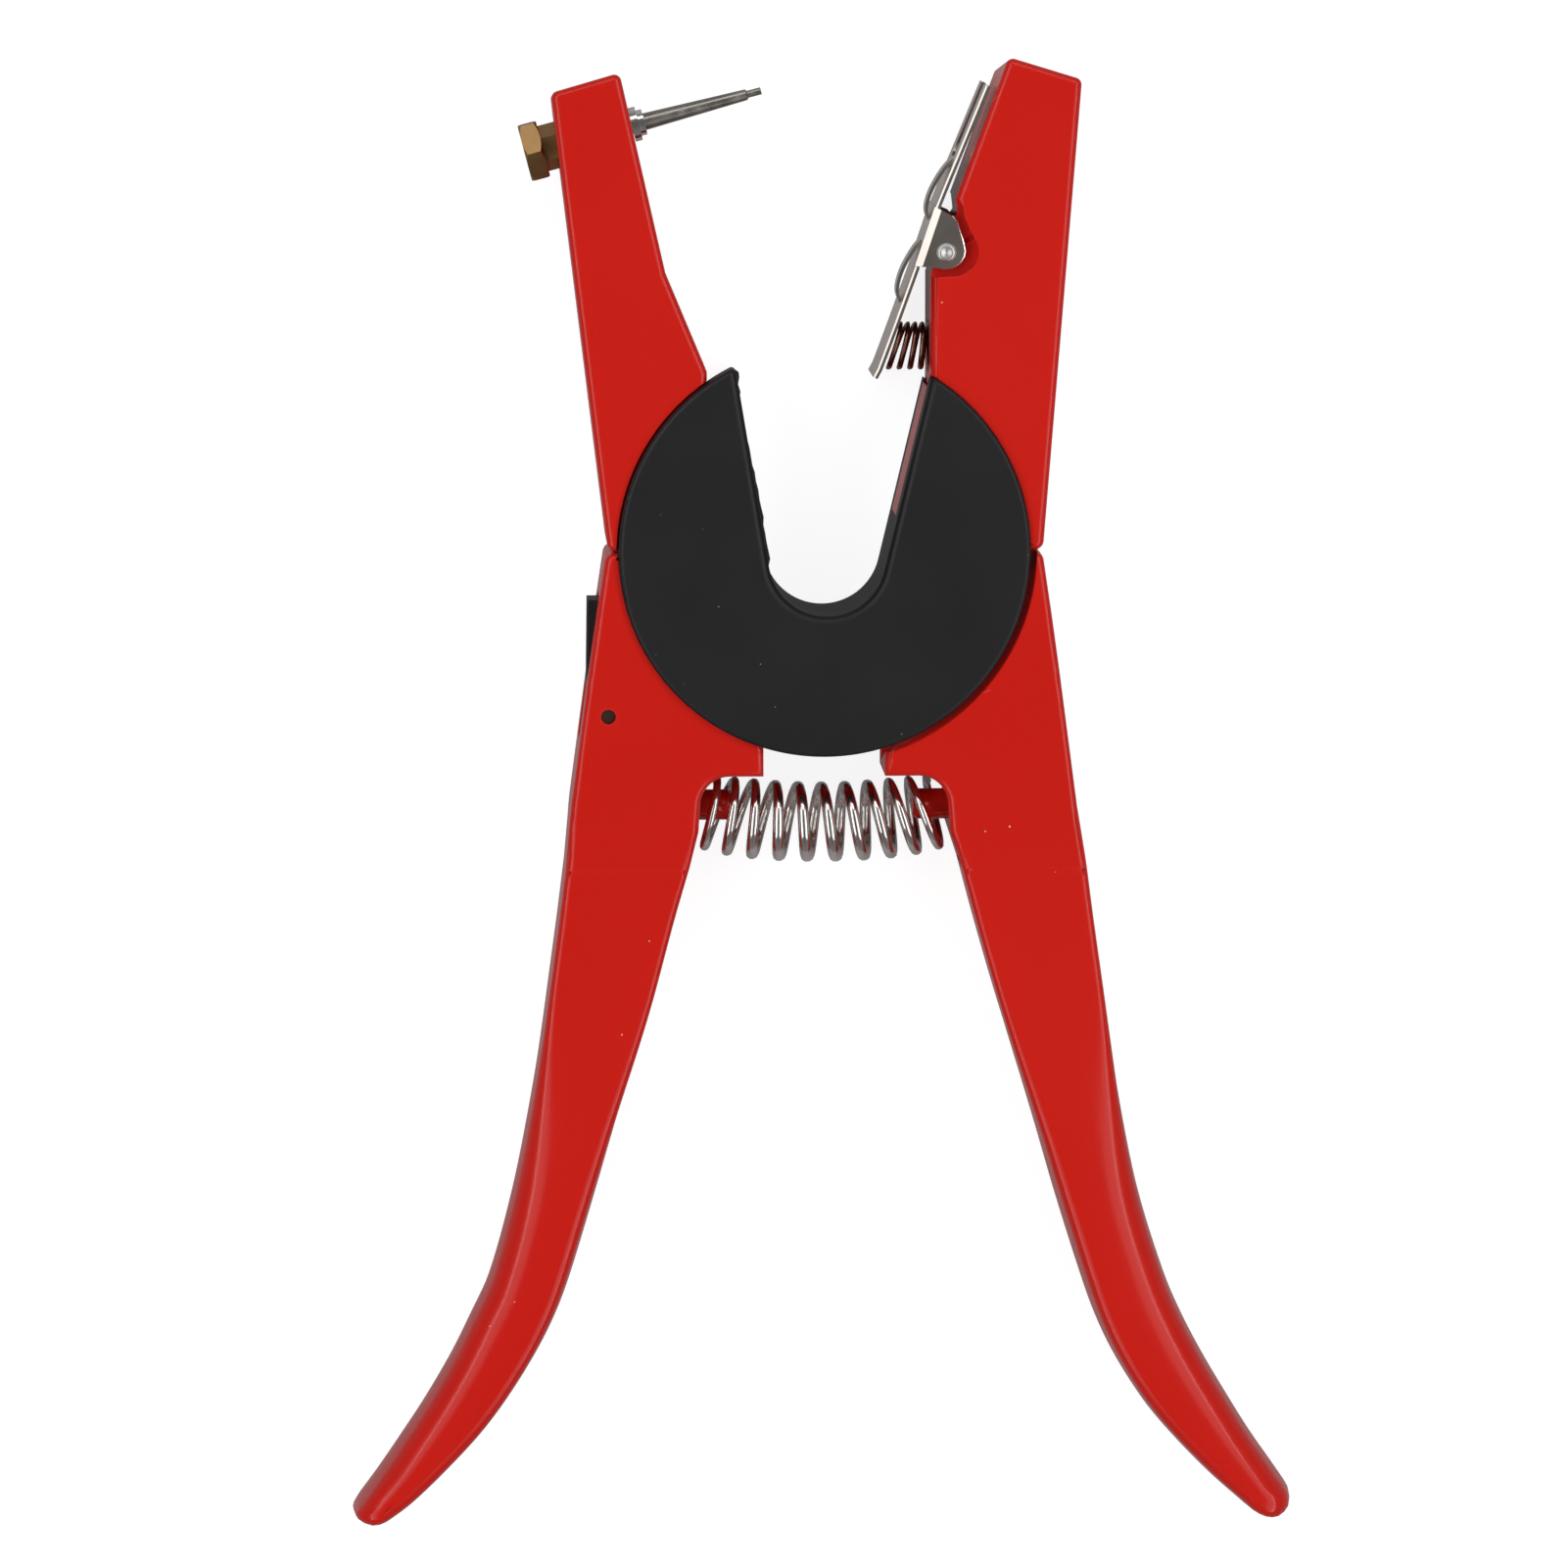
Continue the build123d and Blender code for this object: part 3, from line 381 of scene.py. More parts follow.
# Dust: single pale specks of uneven size, scattered through the surface.
dust, dust_in, dust_out = new_group(
    "dust specks", [("Spacing", 400.0), ("Size", 0.05), ("Share", 0.4)], ["Mask"]
)
dust_place = add_node(dust, "ShaderNodeTexCoord")
dust_cells = add_node(dust, "ShaderNodeTexVoronoi")
dust.links.new(dust_place.outputs["Object"], dust_cells.inputs["Vector"])
dust.links.new(dust_in.outputs["Spacing"], dust_cells.inputs["Scale"])
dust_random = add_node(dust, "ShaderNodeSeparateColor")
dust.links.new(dust_cells.outputs["Color"], dust_random.inputs["Color"])
dust_grown = combine(dust, "MULTIPLY", dust_in.outputs["Size"], dust_random.outputs["Green"])
dust_near = combine(dust, "LESS_THAN", dust_cells.outputs["Distance"], dust_grown)
dust_kept = combine(dust, "LESS_THAN", dust_random.outputs["Red"], dust_in.outputs["Share"])
dust.links.new(combine(dust, "MULTIPLY", dust_near, dust_kept), dust_out.inputs["Mask"])

# Grain: an uneven skin in two sizes, for bump and for slow changes of tone.
grain, grain_in, grain_out = new_group(
    "skin grain", [("Fine", 900.0), ("Broad", 40.0)], ["Fine height", "Broad tone"]
)
grain_place = add_node(grain, "ShaderNodeTexCoord")
for size, out in (("Fine", "Fine height"), ("Broad", "Broad tone")):
    noise = add_node(grain, "ShaderNodeTexNoise")
    noise.inputs["Detail"].default_value = 3
    grain.links.new(grain_place.outputs["Object"], noise.inputs["Vector"])
    grain.links.new(grain_in.outputs[size], noise.inputs["Scale"])
    grain.links.new(noise.outputs["Fac"], grain_out.inputs[out])

# Edge: 1 where the surface turns sharply, 0 on the flats. The materials use it to paint their edges paler,
# partly as wear and partly as a painted highlight.
edge, edge_in, edge_out = new_group("edge wear and painted highlight", [("Reach", 0.8 * MM), ("Sharpness", 6.0)], ["Mask"])
edge_round = add_node(edge, "ShaderNodeBevel", samples=4)
edge.links.new(edge_in.outputs["Reach"], edge_round.inputs["Radius"])
edge_true = add_node(edge, "ShaderNodeNewGeometry")
edge_dot = add_node(edge, "ShaderNodeVectorMath", operation="DOT_PRODUCT")
edge.links.new(edge_round.outputs["Normal"], edge_dot.inputs[0])
edge.links.new(edge_true.outputs["Normal"], edge_dot.inputs[1])
edge_turn = combine(edge, "SUBTRACT", 1, edge_dot.outputs["Value"])
edge.links.new(
    combine(edge, "MULTIPLY", edge_turn, edge_in.outputs["Sharpness"], clamp=True),
    edge_out.inputs["Mask"],
)

# Scratches: fine short hairlines, each in its own patch and direction.
scratch, scratch_in, scratch_out = new_group(
    "hairline scratches", [("Spacing", 60.0), ("Width", 0.02), ("Share", 0.3)], ["Mask"]
)
scratch_place = add_node(scratch, "ShaderNodeTexCoord")
scratch_cells = add_node(scratch, "ShaderNodeTexVoronoi")
scratch.links.new(scratch_place.outputs["Object"], scratch_cells.inputs["Vector"])
scratch.links.new(scratch_in.outputs["Spacing"], scratch_cells.inputs["Scale"])
scratch_random = add_node(scratch, "ShaderNodeSeparateColor")
scratch.links.new(scratch_cells.outputs["Color"], scratch_random.inputs["Color"])
scratch_wave = add_node(scratch, "ShaderNodeTexNoise")
scratch_wave.inputs["Detail"].default_value = 0
scratch_wave.inputs["Scale"].default_value = 90
scratch.links.new(scratch_place.outputs["Object"], scratch_wave.inputs["Vector"])
scratch_line = combine(scratch, "SUBTRACT", scratch_wave.outputs["Fac"], scratch_random.outputs["Green"])
scratch_thin = combine(
    scratch, "LESS_THAN", combine(scratch, "ABSOLUTE", scratch_line, 0), scratch_in.outputs["Width"]
)
scratch_kept = combine(scratch, "LESS_THAN", scratch_random.outputs["Red"], scratch_in.outputs["Share"])
scratch_near = combine(scratch, "LESS_THAN", scratch_cells.outputs["Distance"], 0.25)
scratch_both = combine(scratch, "MULTIPLY", scratch_thin, scratch_kept)
scratch.links.new(combine(scratch, "MULTIPLY", scratch_both, scratch_near), scratch_out.inputs["Mask"])


def add_bump(tree, shader, height, strength, distance):
    """Lets a height raise and lower the surface's shading."""
    bump = add_node(tree, "ShaderNodeBump")
    bump.inputs["Strength"].default_value = strength
    bump.inputs["Distance"].default_value = distance
    tree.links.new(height, bump.inputs["Height"])
    tree.links.new(bump.outputs["Normal"], shader.inputs["Normal"])


enamel, tree, shader = start_material("signal red enamel")
enamel_grain = place_group(tree, grain, Fine=700.0, Broad=14.0)
enamel_dust = place_group(tree, dust, Spacing=260.0, Size=0.05, Share=0.3)
enamel_edge = place_group(tree, edge, Reach=0.8 * MM, Sharpness=2.0)
enamel_scratch = place_group(tree, scratch, Spacing=80.0, Width=0.002, Share=0.12)
enamel_tone = enamel_grain.outputs["Broad tone"]
tone = mix_colour(tree, enamel_tone, (0.535, 0.0092, 0.0045), (0.6, 0.0125, 0.0065))
# Paler, pinker red along the sharp edges: partly thinner paint, partly a painted highlight standing in for
# the rim reflections.
worn_and_highlit = mix_colour(tree, enamel_edge.outputs["Mask"], tone, (0.62, 0.03, 0.024))
scratched = mix_colour(tree, enamel_scratch.outputs["Mask"], worn_and_highlit, (0.66, 0.12, 0.1))
specked = mix_colour(tree, enamel_dust.outputs["Mask"], scratched, (0.8, 0.5, 0.45))
tree.links.new(specked, shader.inputs["Base Color"])
tree.links.new(spread(tree, enamel_tone, 0.16, 0.28), shader.inputs["Roughness"])
shader.inputs["IOR"].default_value = 1.36
add_bump(tree, shader, enamel_grain.outputs["Fine height"], 0.1, 0.04 * MM)
for lever in enamelled:
    lever.data.materials.append(enamel)

# Hub covers
# Two moulded black nylon horseshoes clamp the levers, front and back; the back one has the
# collar that lines the throat. They are matt, a little scuffed and dusty, and their edges are painted paler
# grey, partly as scuffs and partly as a painted highlight.
nylon, tree, shader = start_material("black hub nylon")
nylon_grain = place_group(tree, grain, Fine=1400.0, Broad=60.0)
nylon_dust = place_group(tree, dust, Spacing=420.0, Size=0.05, Share=0.5)
nylon_edge = place_group(tree, edge, Reach=0.6 * MM, Sharpness=3.0)
nylon_tone = nylon_grain.outputs["Broad tone"]
tone = mix_colour(tree, nylon_tone, (0.0055, 0.0056, 0.0068), (0.0085, 0.0086, 0.01))
# Pale grey along the sharp edges: partly scuffed nylon, partly a painted highlight of the rim lines.
worn_and_highlit = mix_colour(tree, nylon_edge.outputs["Mask"], tone, (0.06, 0.06, 0.06))
specked = mix_colour(tree, nylon_dust.outputs["Mask"], worn_and_highlit, (0.2, 0.19, 0.18))
tree.links.new(specked, shader.inputs["Base Color"])
tree.links.new(spread(tree, nylon_tone, 0.4, 0.54), shader.inputs["Roughness"])
shader.inputs["IOR"].default_value = 1.36
add_bump(tree, shader, nylon_grain.outputs["Fine height"], 0.25, 0.06 * MM)


def finish_node(node, material):
    """Puts a material on a node of the frame."""
    piece = frame["nodes"][node]
    piece.data.materials.clear()
    piece.data.materials.append(material)


finish_node("front_cover", nylon)
finish_node("back_cover", nylon)

# Moulding flash
# Where the mould halves of the covers met, a thin torn skin of black nylon is left along the
# throat's left side, with a small lump at its top. Its outline is in millimetres from the
# pivot.
flash_sheet = 1 * MM
flash_sink = 0.2 * MM
flash_edge = (
    (-15.1, 30.6), (-14.3, 30.0), (-14.2, 29.2), (-14.4, 28.0), (-14, 26.7), (-14.15, 25.7),
    (-13.9, 23.6), (-13.75, 21.8), (-13.1, 20.4), (-12.8, 18.4), (-12.5, 17.3), (-12.25, 15.8),
    (-12, 14.3), (-11.6, 13.1), (-11.4, 11.6), (-11, 10.1), (-10.8, 8.5), (-10.5, 7.1),
    (-10.1, 5.5), (-10.15, 4.2), (-9.85, 2.8), (-9.6, 1.2), (-9.3, -0.2), (-9, -1.6),
    (-9.3, -2.9), (-10.6, -1.0), (-12.4, 8.0), (-14, 16.0), (-15.4, 25.0), (-16.3, 30.4),
)
flash_outline = [PIVOT.xy + p for p in in_mm(flash_edge)]
flash_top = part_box("back_cover")[1].z - flash_sink
flash = cut_blank("flash", flash_outline, flash_top - flash_sheet, flash_top)
shade(flash, 20)
flash.data.materials.append(nylon)
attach(flash, "anvil_side")

# Cover screws
# Four slotted screws, turned from steel, hold the covers together from behind. Their heads
# are sunk in counterbores of the back cover.


def bare_metal(name, grain_scales, tones, roughness, bump, dulled_by="Broad tone", dented_by="Fine height"):
    """A bare metal with an uneven tone, sheen and surface, each led by one size of its grain."""
    metal, tree, shader = start_material(name)
    metal_grain = place_group(tree, grain, Fine=grain_scales[0], Broad=grain_scales[1])
    tone = mix_colour(tree, metal_grain.outputs["Broad tone"], *tones)
    tree.links.new(tone, shader.inputs["Base Color"])
    shader.inputs["Metallic"].default_value = 1
    tree.links.new(spread(tree, metal_grain.outputs[dulled_by], *roughness), shader.inputs["Roughness"])
    add_bump(tree, shader, metal_grain.outputs[dented_by], *bump)
    return metal


screw_steel = bare_metal(
    "turned screw steel",
    grain_scales=(2600, 300),
    tones=((0.36, 0.35, 0.34), (0.5, 0.49, 0.48)),
    roughness=(0.1375, 0.5125),
    bump=(0.2, 0.03 * MM),
    dulled_by="Fine height",
)
finish_node("cover_screws", screw_steel)

# Return spring
# A coil of bright drawn wire sits round a peg on each handle and pushes the handles apart.
# It is longer than its gap, so it bows away from the hub.
spring_low, spring_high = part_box("return_spring")
wire_radius = 0.9 * MM
coil_radius = 6.0 * MM
coil_turns = 10
bow_drop = 1.9 * MM
bow_middle = 0.65
fan = 0.35
end_taper = 0.11
middle_stretch = 0.12


def wind_coil(name, coil, wire, turns, length, steps):
    """A coil along +Z from the origin: a ring of wire screwed round the axis."""
    bpy.ops.object.select_all(action="DESELECT")
    bpy.ops.mesh.primitive_circle_add(
        vertices=10, radius=wire, fill_type="NOTHING", location=(coil, 0, 0), rotation=(pi / 2, 0, 0)
    )
    piece = bpy.context.active_object
    piece.name = name
    bpy.ops.object.transform_apply(location=True, rotation=True, scale=True)
    screw = piece.modifiers.new("wind", "SCREW")
    screw.axis = "Z"
    screw.angle = 2 * pi * turns
    screw.screw_offset = length
    screw.steps = screw.render_steps = steps * turns
    screw.use_merge_vertices = False
    apply_modifiers(piece)
    bpy.ops.object.mode_set(mode="EDIT")
    bpy.ops.mesh.select_all(action="SELECT")
    bpy.ops.mesh.select_non_manifold(extend=False)
    bpy.ops.mesh.edge_face_add()
    bpy.ops.mesh.select_all(action="SELECT")
    bpy.ops.mesh.normals_make_consistent(inside=False)
    bpy.ops.object.mode_set(mode="OBJECT")
    bpy.ops.object.shade_smooth_by_angle(angle=radians(50))
    return piece


spring_length = spring_high.x - spring_low.x - 2 * wire_radius
return_coil = wind_coil("return_coil", coil_radius, wire_radius, coil_turns, spring_length, 28)

# The coil is laid along X between its pegs, bowed away from the hub, and its turns fan out.
spring_middle = (spring_low + spring_high) / 2
half_length = spring_length / 2
for v in return_coil.data.vertices:
    share = (v.co.z - half_length) / half_length
    along = half_length * share * (1 + middle_stretch * (1 - share * share))
    narrow = 1 - end_taper * share**4
    sag = bow_drop * (bow_middle - share * share)
    x, y, z = along, v.co.x * narrow, v.co.y * narrow
    v.co = spring_middle + Vector((x - y * fan * share, y - sag, z))

spring_wire = bare_metal(
    "bright spring wire",
    grain_scales=(3200, 220),
    tones=((0.56, 0.52, 0.5), (0.66, 0.62, 0.6)),
    roughness=(0.1, 0.22),
    bump=(0.05, 0.02 * MM),
)
return_coil.data.materials.append(spring_wire)
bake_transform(return_coil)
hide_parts("return_spring")

# Piercing pin
# The tapered steel pin carries the tag's stud through the ear. A bright stepped collar seats
# it on the jaw, and a brass bush and a hexagon brass screw hold it from behind.
pin_steel = bare_metal(
    "worn pin steel",
    grain_scales=(2200, 500),
    tones=((0.2, 0.18, 0.155), (0.42, 0.4, 0.37)),
    roughness=(0.12, 0.52),
    bump=(0.3, 0.04 * MM),
)
finish_node("piercing_pin", pin_steel)

plated_steel = bare_metal(
    "bright plated steel",
    grain_scales=(1800, 260),
    tones=((0.6, 0.58, 0.56), (0.82, 0.8, 0.78)),
    roughness=(0.05, 0.35),
    bump=(0.15, 0.03 * MM),
)
finish_node("pin_collar", plated_steel)

brass = bare_metal(
    "dull machined brass",
    grain_scales=(2000, 240),
    tones=((0.25, 0.145, 0.06), (0.42, 0.25, 0.105)),
    roughness=(0.175, 0.525),
    bump=(0.25, 0.04 * MM),
)
finish_node("pin_bush", brass)
finish_node("pin_screw", brass)

# Tag clip
# A nickel-plated spring-steel plate with an ear folded up on each side and two straps pressed
# out of its face, which hold the tag's socket half. It is drawn round the rivet that it turns
# on, with its outlines in millimetres, and then tilted and moved into place.
clip_axis = sum(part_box("clip_rivet"), Vector()) / 2
clip_tilt = radians(21)
clip_low, clip_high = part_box("tag_clip")
clip_sheet = 0.8 * MM
plate_face = (
    (-3.9, 28.5), (-4.15, 18), (-4.4, 7), (-4.3, 3), (-4.05, -3.9), (-3.75, -22.4), (-3.95, -24),
)
ear_outline = (
    (-4.55, 6.45), (-3.3, 6.3), (-1.2, 6.2), (-0.2, 5.7), (1.9, 3.1), (3.0, 1.4), (3.2, 0.4),
    (2.9, -1.0), (2.0, -2.2), (0.7, -2.9), (-1.2, -3.3), (-4.1, -4.0),
)
strap_lines = (
    ((-4.1, 15.2), (-4.9, 13.6), (-5.55, 11.2), (-5.9, 8.6), (-5.85, 6.6), (-5.4, 4.9), (-4.2, 3.4)),
    ((-4.0, 0.9), (-4.8, -0.7), (-5.35, -3.0), (-5.65, -5.6), (-5.55, -7.8), (-5.05, -9.6), (-3.75, -11.2)),
)
strap_sheet = 0.55 * MM
strap_width = 5.0 * MM
outer_face = -3.7 * MM
fold_width = 1.2 * MM
fold_inside = -3.4 * MM
ear_foot, ear_head = -4.05 * MM, 6.4 * MM
ear_room = 9 * MM
ear_rim = 0.2 * MM
cut_slope_width = 0.3 * MM
rim_slope = 0.32
fork_width = 6.0 * MM
fork_bottom = 16.0 * MM
fork_length = 20 * MM


def round_edges(piece, chosen, width, segments):
    """Rounds the edges whose two ends pass the test together."""
    select_only(piece)
    bpy.ops.object.mode_set(mode="EDIT")
    bpy.ops.mesh.select_mode(type="EDGE")
    bpy.ops.mesh.select_all(action="DESELECT")
    bpy.ops.object.mode_set(mode="OBJECT")
    for edge_line in piece.data.edges:
        first, second = (piece.data.vertices[i].co for i in edge_line.vertices)
        edge_line.select = chosen(first, second)
    bpy.ops.object.mode_set(mode="EDIT")
    bpy.ops.mesh.bevel(offset=width, segments=segments, affect="EDGES")
    bpy.ops.mesh.select_mode(type="VERT")
    bpy.ops.object.mode_set(mode="OBJECT")


def carve(piece, tool):
    """Takes a tool's shape out of a piece and throws the tool away."""
    cut = piece.modifiers.new("carve", "BOOLEAN")
    cut.object = tool
    cut.operation = "DIFFERENCE"
    cut.solver = "EXACT"
    apply_modifiers(piece)
    bpy.data.objects.remove(tool)


def add_box(name, low, high):
    """A box between two corners."""
    bpy.ops.object.select_all(action="DESELECT")
    centre, size = (Vector(low) + Vector(high)) / 2, Vector(high) - Vector(low)
    bpy.ops.mesh.primitive_cube_add(size=1, location=centre, scale=size)
    bpy.ops.object.transform_apply(location=True, rotation=True, scale=True)
    piece = bpy.context.active_object
    piece.name = name
    return piece


def add_rod(name, place, radius, depth, sides=40, turned=(0, 0, 0)):
    """A round rod about its middle, along Z unless it is turned."""
    bpy.ops.object.select_all(action="DESELECT")
    bpy.ops.mesh.primitive_cylinder_add(
        vertices=sides, radius=radius, depth=depth, location=place, rotation=turned
    )
    bpy.ops.object.transform_apply(location=True, rotation=True, scale=True)
    piece = bpy.context.active_object
    piece.name = name
    return piece


def long_outer_edge(a, b):
    """An edge that runs along the plate at the front or back of its outer face."""
    level = abs(a.z - b.z) < 0.01 * MM
    return level and max(a.x, b.x) < outer_face and abs(a.y - b.y) > MM


def ear_fold(a, b):
    """The long edge where an ear is folded up from the plate."""
    return long_outer_edge(a, b) and abs(a.y - b.y) > ear_room


def ear_rim_edge(a, b):
    """A short edge round an ear's free end, at its front or back."""
    level = abs(a.z - b.z) < 0.01 * MM
    return level and max(a.x, b.x) > -3 * MM and (a - b).length < 6 * MM


def slope_rims(piece, chosen, width):
    """Bevels the chosen edges and flattens each bevel to a shallow slope."""
    round_edges(piece, chosen, width, 1)
    for v in piece.data.vertices:
        for rim, way in ((clip_high.z, -1), (clip_low.z, 1)):
            if abs(v.co.z - rim - way * width) < 0.01 * MM:
                v.co.z = rim + way * rim_slope * width


face_line = faired(in_mm(plate_face), 2.5 * MM)
inner_line = [p + Vector((clip_sheet, 0)) for p in reversed(face_line)]
clip_plate = cut_blank("clip_plate", face_line + inner_line, clip_low.z, clip_high.z)
slope_rims(clip_plate, long_outer_edge, cut_slope_width)
fork_middle = (clip_low.z + clip_high.z) / 2
half_fork = Vector((0, 0, fork_width / 2))
fork_base = Vector((-3.5 * MM, fork_bottom, fork_middle))
through = Vector((3 * MM, 0, 0))
fork_low = fork_base - through - half_fork
fork_high = fork_base + 5 * through + half_fork + Vector((0, fork_length, 0))
carve(clip_plate, add_box("fork", fork_low, fork_high))
carve(clip_plate, add_rod("fork_end", fork_base, fork_width / 2, 8 * MM, turned=(0, pi / 2, 0)))
for low, high in ((clip_high.z - fold_width, clip_high.z + MM), (clip_low.z - MM, clip_low.z + fold_width)):
    carve(clip_plate, add_box("fold_gap", (-ear_room, ear_foot, low), (ear_room, ear_head, high)))

clip_ears = cut_blank("clip_ears", in_mm(ear_outline), clip_low.z, clip_high.z)
slope_rims(clip_ears, ear_fold, fold_width)
round_edges(clip_ears, ear_rim_edge, ear_rim, 2)
hollow_low = (fold_inside, -ear_room, clip_low.z + clip_sheet)
hollow_high = (ear_room, ear_room, clip_high.z - clip_sheet)
carve(clip_ears, add_box("hollow", hollow_low, hollow_high))
strap_low, strap_high = fork_middle - strap_width / 2, fork_middle + strap_width / 2
straps = []
for line in strap_lines:
    outer_bend = faired(in_mm(line), 0.5 * MM)
    inner_bend = [p + Vector((strap_sheet, 0)) for p in reversed(outer_bend)]
    straps.append(cut_blank("strap", outer_bend + inner_bend, strap_low, strap_high))
for piece in (clip_ears, *straps):
    shade(piece, 14)
shade(clip_plate, 12)
join_pieces(clip_plate, [clip_ears, *straps])

clip_plate.location = (clip_axis.x, clip_axis.y, 0)
clip_plate.rotation_euler.z = -clip_tilt
bpy.ops.object.transform_apply(location=True, rotation=True, scale=True)
clip_steel = bare_metal(
    "polished clip steel",
    grain_scales=(1500, 180),
    tones=((0.6, 0.53, 0.48), (0.76, 0.69, 0.63)),
    roughness=(0.12, 0.24),
    bump=(0.08, 0.03 * MM),
)
clip_plate.data.materials.append(clip_steel)
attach(clip_plate, "clip")
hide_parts("tag_clip")

# Clip rivet
# A tubular steel rivet joins the ears through the jaw. Its ends are spun over into low round
# heads with a dished middle.
rivet_low, rivet_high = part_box("clip_rivet")
rivet_head_radius = 1.6 * MM
rivet_shank_radius = 1.2 * MM
head_height = 0.6 * MM
head_rim = 0.5 * MM
dish_radius = 0.85 * MM
dish_slope = 0.6 * MM
dish_depth = 0.35 * MM
clip_pin = add_rod(
    "clip_pin", clip_axis, rivet_shank_radius, rivet_high.z - rivet_low.z - 2 * head_rim, sides=32
)
for side, top in ((1, rivet_high.z), (-1, rivet_low.z)):
    head_middle = (clip_axis.x, clip_axis.y, top - side * head_height / 2)
    head = add_rod("head", head_middle, rivet_head_radius, head_height)
    round_edges(head, lambda a, b: max(abs(a.z - top), abs(b.z - top)) < 0.01 * MM, head_rim, 5)
    select_only(head)
    bpy.ops.object.mode_set(mode="EDIT")
    bpy.ops.mesh.select_mode(type="FACE")
    bpy.ops.mesh.select_all(action="DESELECT")
    bpy.ops.object.mode_set(mode="OBJECT")
    for face in head.data.polygons:
        face.select = abs(face.center.z - top) < 0.01 * MM
    bpy.ops.object.mode_set(mode="EDIT")
    bpy.ops.mesh.inset(thickness=rivet_head_radius - head_rim - dish_radius)
    bpy.ops.mesh.inset(thickness=dish_slope, depth=-dish_depth)
    bpy.ops.mesh.select_mode(type="VERT")
    bpy.ops.object.mode_set(mode="OBJECT")
    shade(head, 50)
    join_pieces(clip_pin, [head])
rivet_steel = bare_metal(
    "spun rivet steel",
    grain_scales=(1800, 700),
    tones=((0.42, 0.42, 0.41), (0.62, 0.62, 0.61)),
    roughness=(0.25, 0.45),
    bump=(0.4, 0.06 * MM),
    dented_by="Broad tone",
)
clip_pin.data.materials.append(rivet_steel)
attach(clip_pin, "clip")
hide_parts("clip_rivet")

# Clip spring
# A small dark oiled coil sits in a bore of the jaw and pushes the clip's tail outwards. Its
# first turns lie flat on the plate and so lean; its last ones stand straight in the bore.
small_low, small_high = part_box("clip_spring")
small_wire = 0.44 * MM
small_radius = (small_high.y - small_low.y) / 2 - small_wire
small_turns = 5
small_lap = 1.3 * MM
small_start = small_low.x - small_lap
small_length = small_high.x - small_start - small_wire
small_middle = (small_low + small_high) / 2
clip_coil = wind_coil("clip_coil", small_radius, small_wire, small_turns, small_length, 24)
for v in clip_coil.data.vertices:
    lean = tan(clip_tilt) * (1 - v.co.z / small_length)
    along = small_start + v.co.z + v.co.x * lean
    v.co = (along, small_middle.y + v.co.x, small_middle.z + v.co.y)
dark_wire = bare_metal(
    "oiled dark wire",
    grain_scales=(3000, 300),
    tones=((0.13, 0.06, 0.045), (0.26, 0.14, 0.11)),
    roughness=(0.15, 0.3),
    bump=(0.1, 0.03 * MM),
)
clip_coil.data.materials.append(dark_wire)
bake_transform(clip_coil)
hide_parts("clip_spring")

# Storage latch
# A rocker moulded in black nylon sits in a slot of the left handle and locks the closed
# levers. It turns on a dark steel pin, whose end shows in the front of the handle.
finish_node("lock_latch", nylon)
finish_node("latch_pin", dark_wire)

# Floor
# A plain white studio floor. To the camera it glows almost white; in metal it shows dimmer,
# and it takes the pliers' shadow.
bpy.ops.object.select_all(action="DESELECT")
bpy.ops.mesh.primitive_plane_add(size=12, location=(0, 0, -0.5 * MM))
floor = bpy.context.active_object
floor.name = "studio_floor"
white, tree, shader = start_material("white floor")
shader.inputs["Base Color"].default_value = (0.28, 0.28, 0.284, 1)
shader.inputs["Roughness"].default_value = 0.9
shader.inputs["Specular IOR Level"].default_value = 0
shader.inputs["Emission Color"].default_value = (1, 1, 1, 1)
rays = add_node(tree, "ShaderNodeLightPath")
mirrored = combine(tree, "MAXIMUM", rays.outputs["Is Glossy Ray"], rays.outputs["Is Transmission Ray"])
mirrored_glow = combine(tree, "MULTIPLY", mirrored, 0.14)
seen_glow = combine(tree, "MULTIPLY", rays.outputs["Is Camera Ray"], 0.86)
glow = combine(tree, "MAXIMUM", seen_glow, mirrored_glow)
tree.links.new(glow, shader.inputs["Emission Strength"])
floor.data.materials.append(white)

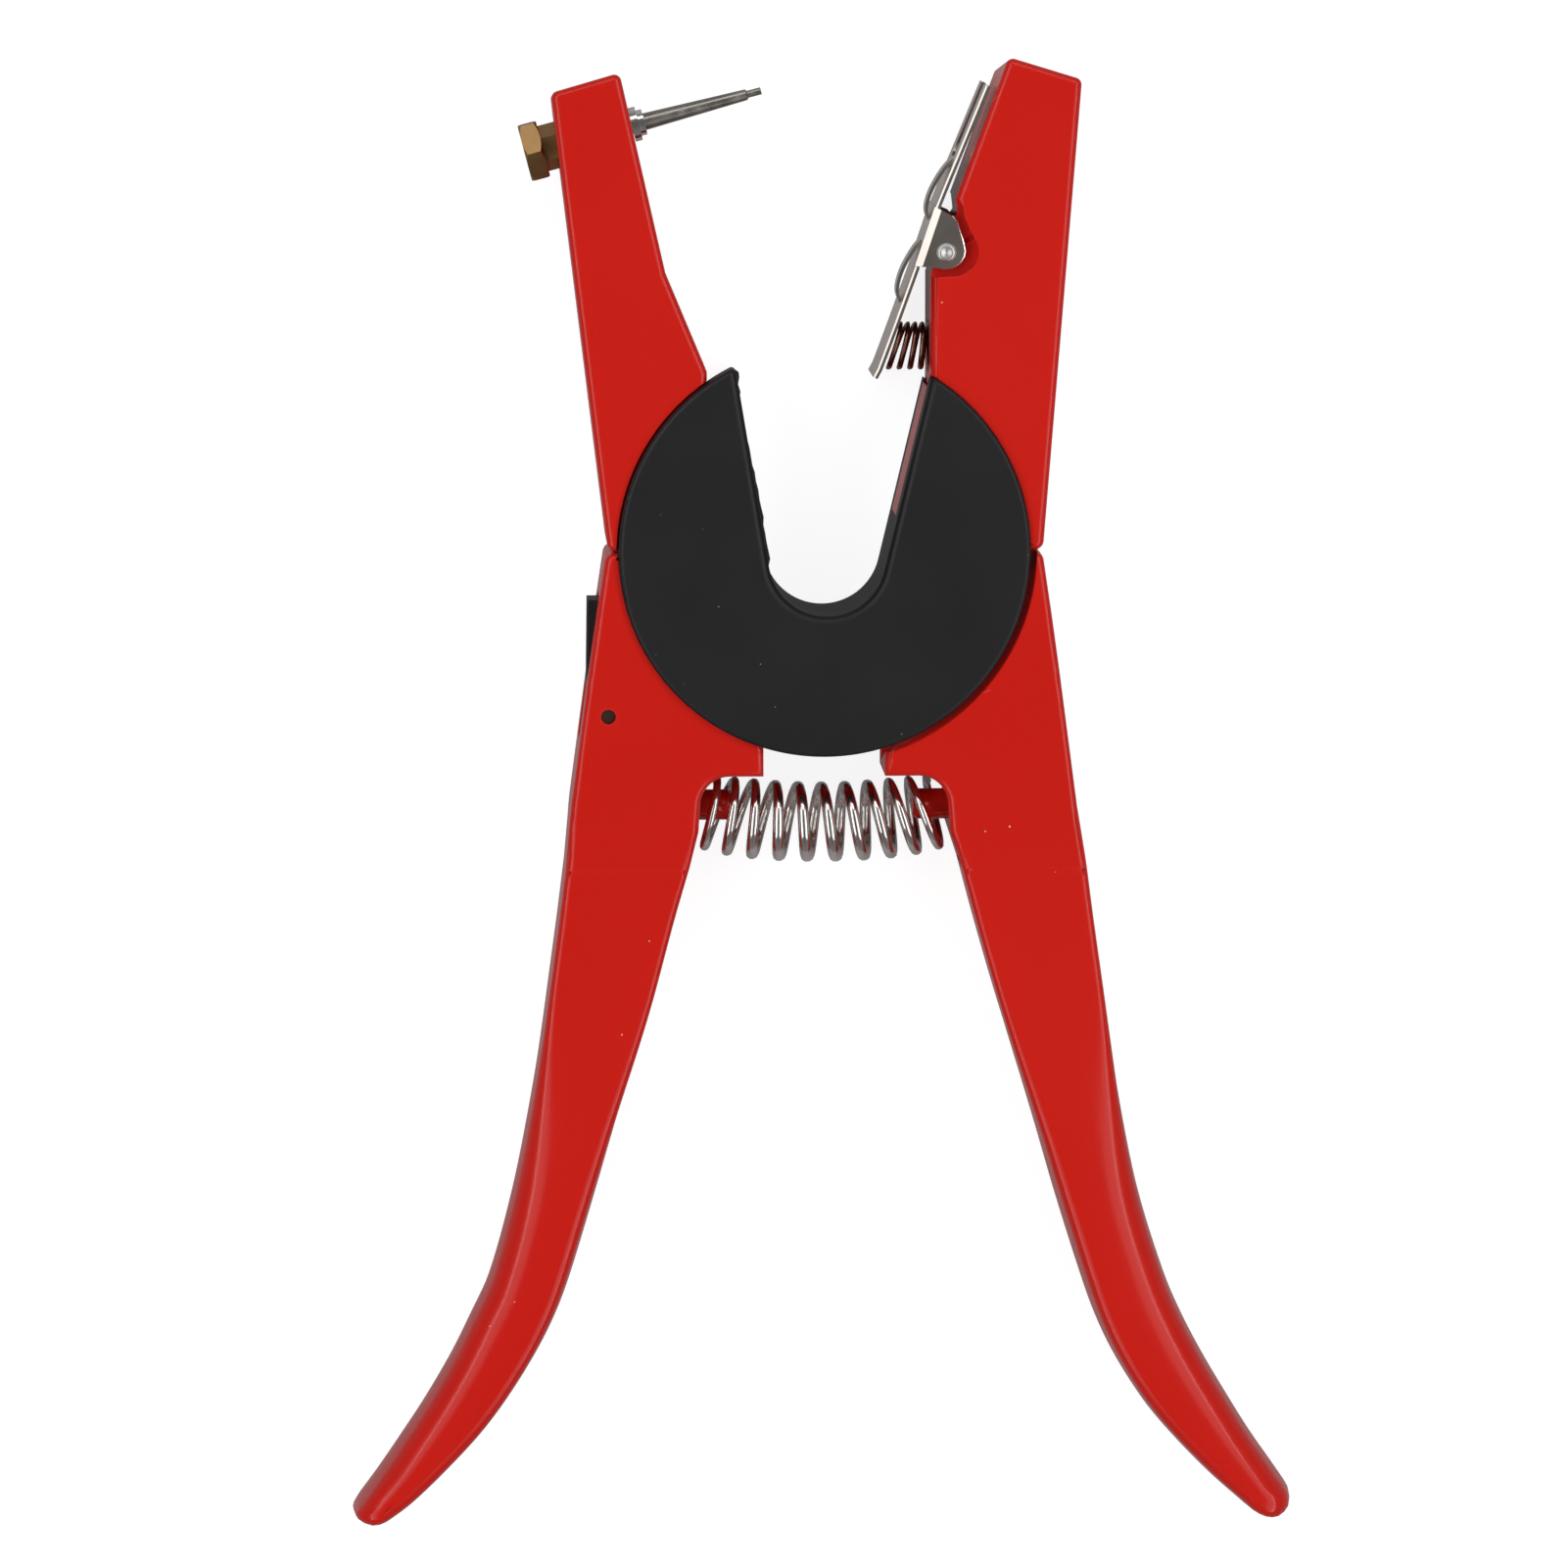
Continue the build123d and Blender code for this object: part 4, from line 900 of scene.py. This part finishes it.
# Studio light
# A dim pale room. A long soft panel hangs high on each side and draws a line of light along
# every rounded edge; a weaker one beyond the jaws lights the ends that face it.
world = bpy.data.worlds.new("studio")
bpy.context.scene.world = world
world.use_nodes = True
tree = world.node_tree
sky = tree.nodes["Background"]
direction = add_node(tree, "ShaderNodeTexCoord")
split = add_node(tree, "ShaderNodeSeparateXYZ")
tree.links.new(direction.outputs["Generated"], split.inputs[0])
level = spread(tree, split.outputs["Z"], 0.26, 0.12)
rays = add_node(tree, "ShaderNodeLightPath")
strength = combine(tree, "MAXIMUM", level, rays.outputs["Is Camera Ray"])
sky.inputs["Color"].default_value = (1, 1, 1, 1)
tree.links.new(strength, sky.inputs["Strength"])


def hang_panel(name, azimuth, elevation, distance, width, height, radiance):
    """A soft panel that faces the middle of the pliers."""
    data = bpy.data.lights.new(name, "AREA")
    data.shape = "RECTANGLE"
    data.size = width
    data.size_y = height
    data.energy = radiance * pi * width * height
    lamp = bpy.data.objects.new(name, data)
    bpy.context.scene.collection.objects.link(lamp)
    a, e = radians(azimuth), radians(elevation)
    away = Vector((cos(e) * cos(a), cos(e) * sin(a), sin(e)))
    lamp.location = away * distance
    lamp.rotation_euler = away.to_track_quat("Z", "Y").to_euler()


for side, azimuth in (("right", 0), ("left", 180)):
    hang_panel(side + "_panel", azimuth, 56, distance=1.5, width=2.3, height=0.8, radiance=1.45)
    hang_panel(side + "_strip", azimuth, 43.5, distance=1.48, width=2.3, height=0.18, radiance=4.5)
hang_panel("far_panel", 90, 38, distance=1.5, width=1.2, height=0.5, radiance=2.2)

# Camera
# It looks down on the pliers from 1.5 m through a long lens, a little from beyond the jaws
# and from the left, and frames them in the middle.
view_centre = PIVOT + Vector((-6.457, -40.656, 0)) * MM
view_distance = 1.5
lean_up = radians(7.5)
lean_left = radians(2.4)
back = Vector((-tan(lean_left), tan(lean_up), 1)).normalized()
right = Vector((0, 1, 0)).cross(back).normalized()
up = back.cross(right)
camera_data = bpy.data.cameras.new("camera")
camera_data.sensor_width = 36
camera_data.lens = 202.5
camera_data.clip_end = 20
camera = bpy.data.objects.new("camera", camera_data)
bpy.context.scene.collection.objects.link(camera)
camera.matrix_world = Matrix.Translation(view_centre + back * view_distance) @ Matrix(
    (right, up, back)
).transposed().to_4x4()
bpy.context.scene.camera = camera

bpy.context.scene.view_settings.view_transform = "Standard"
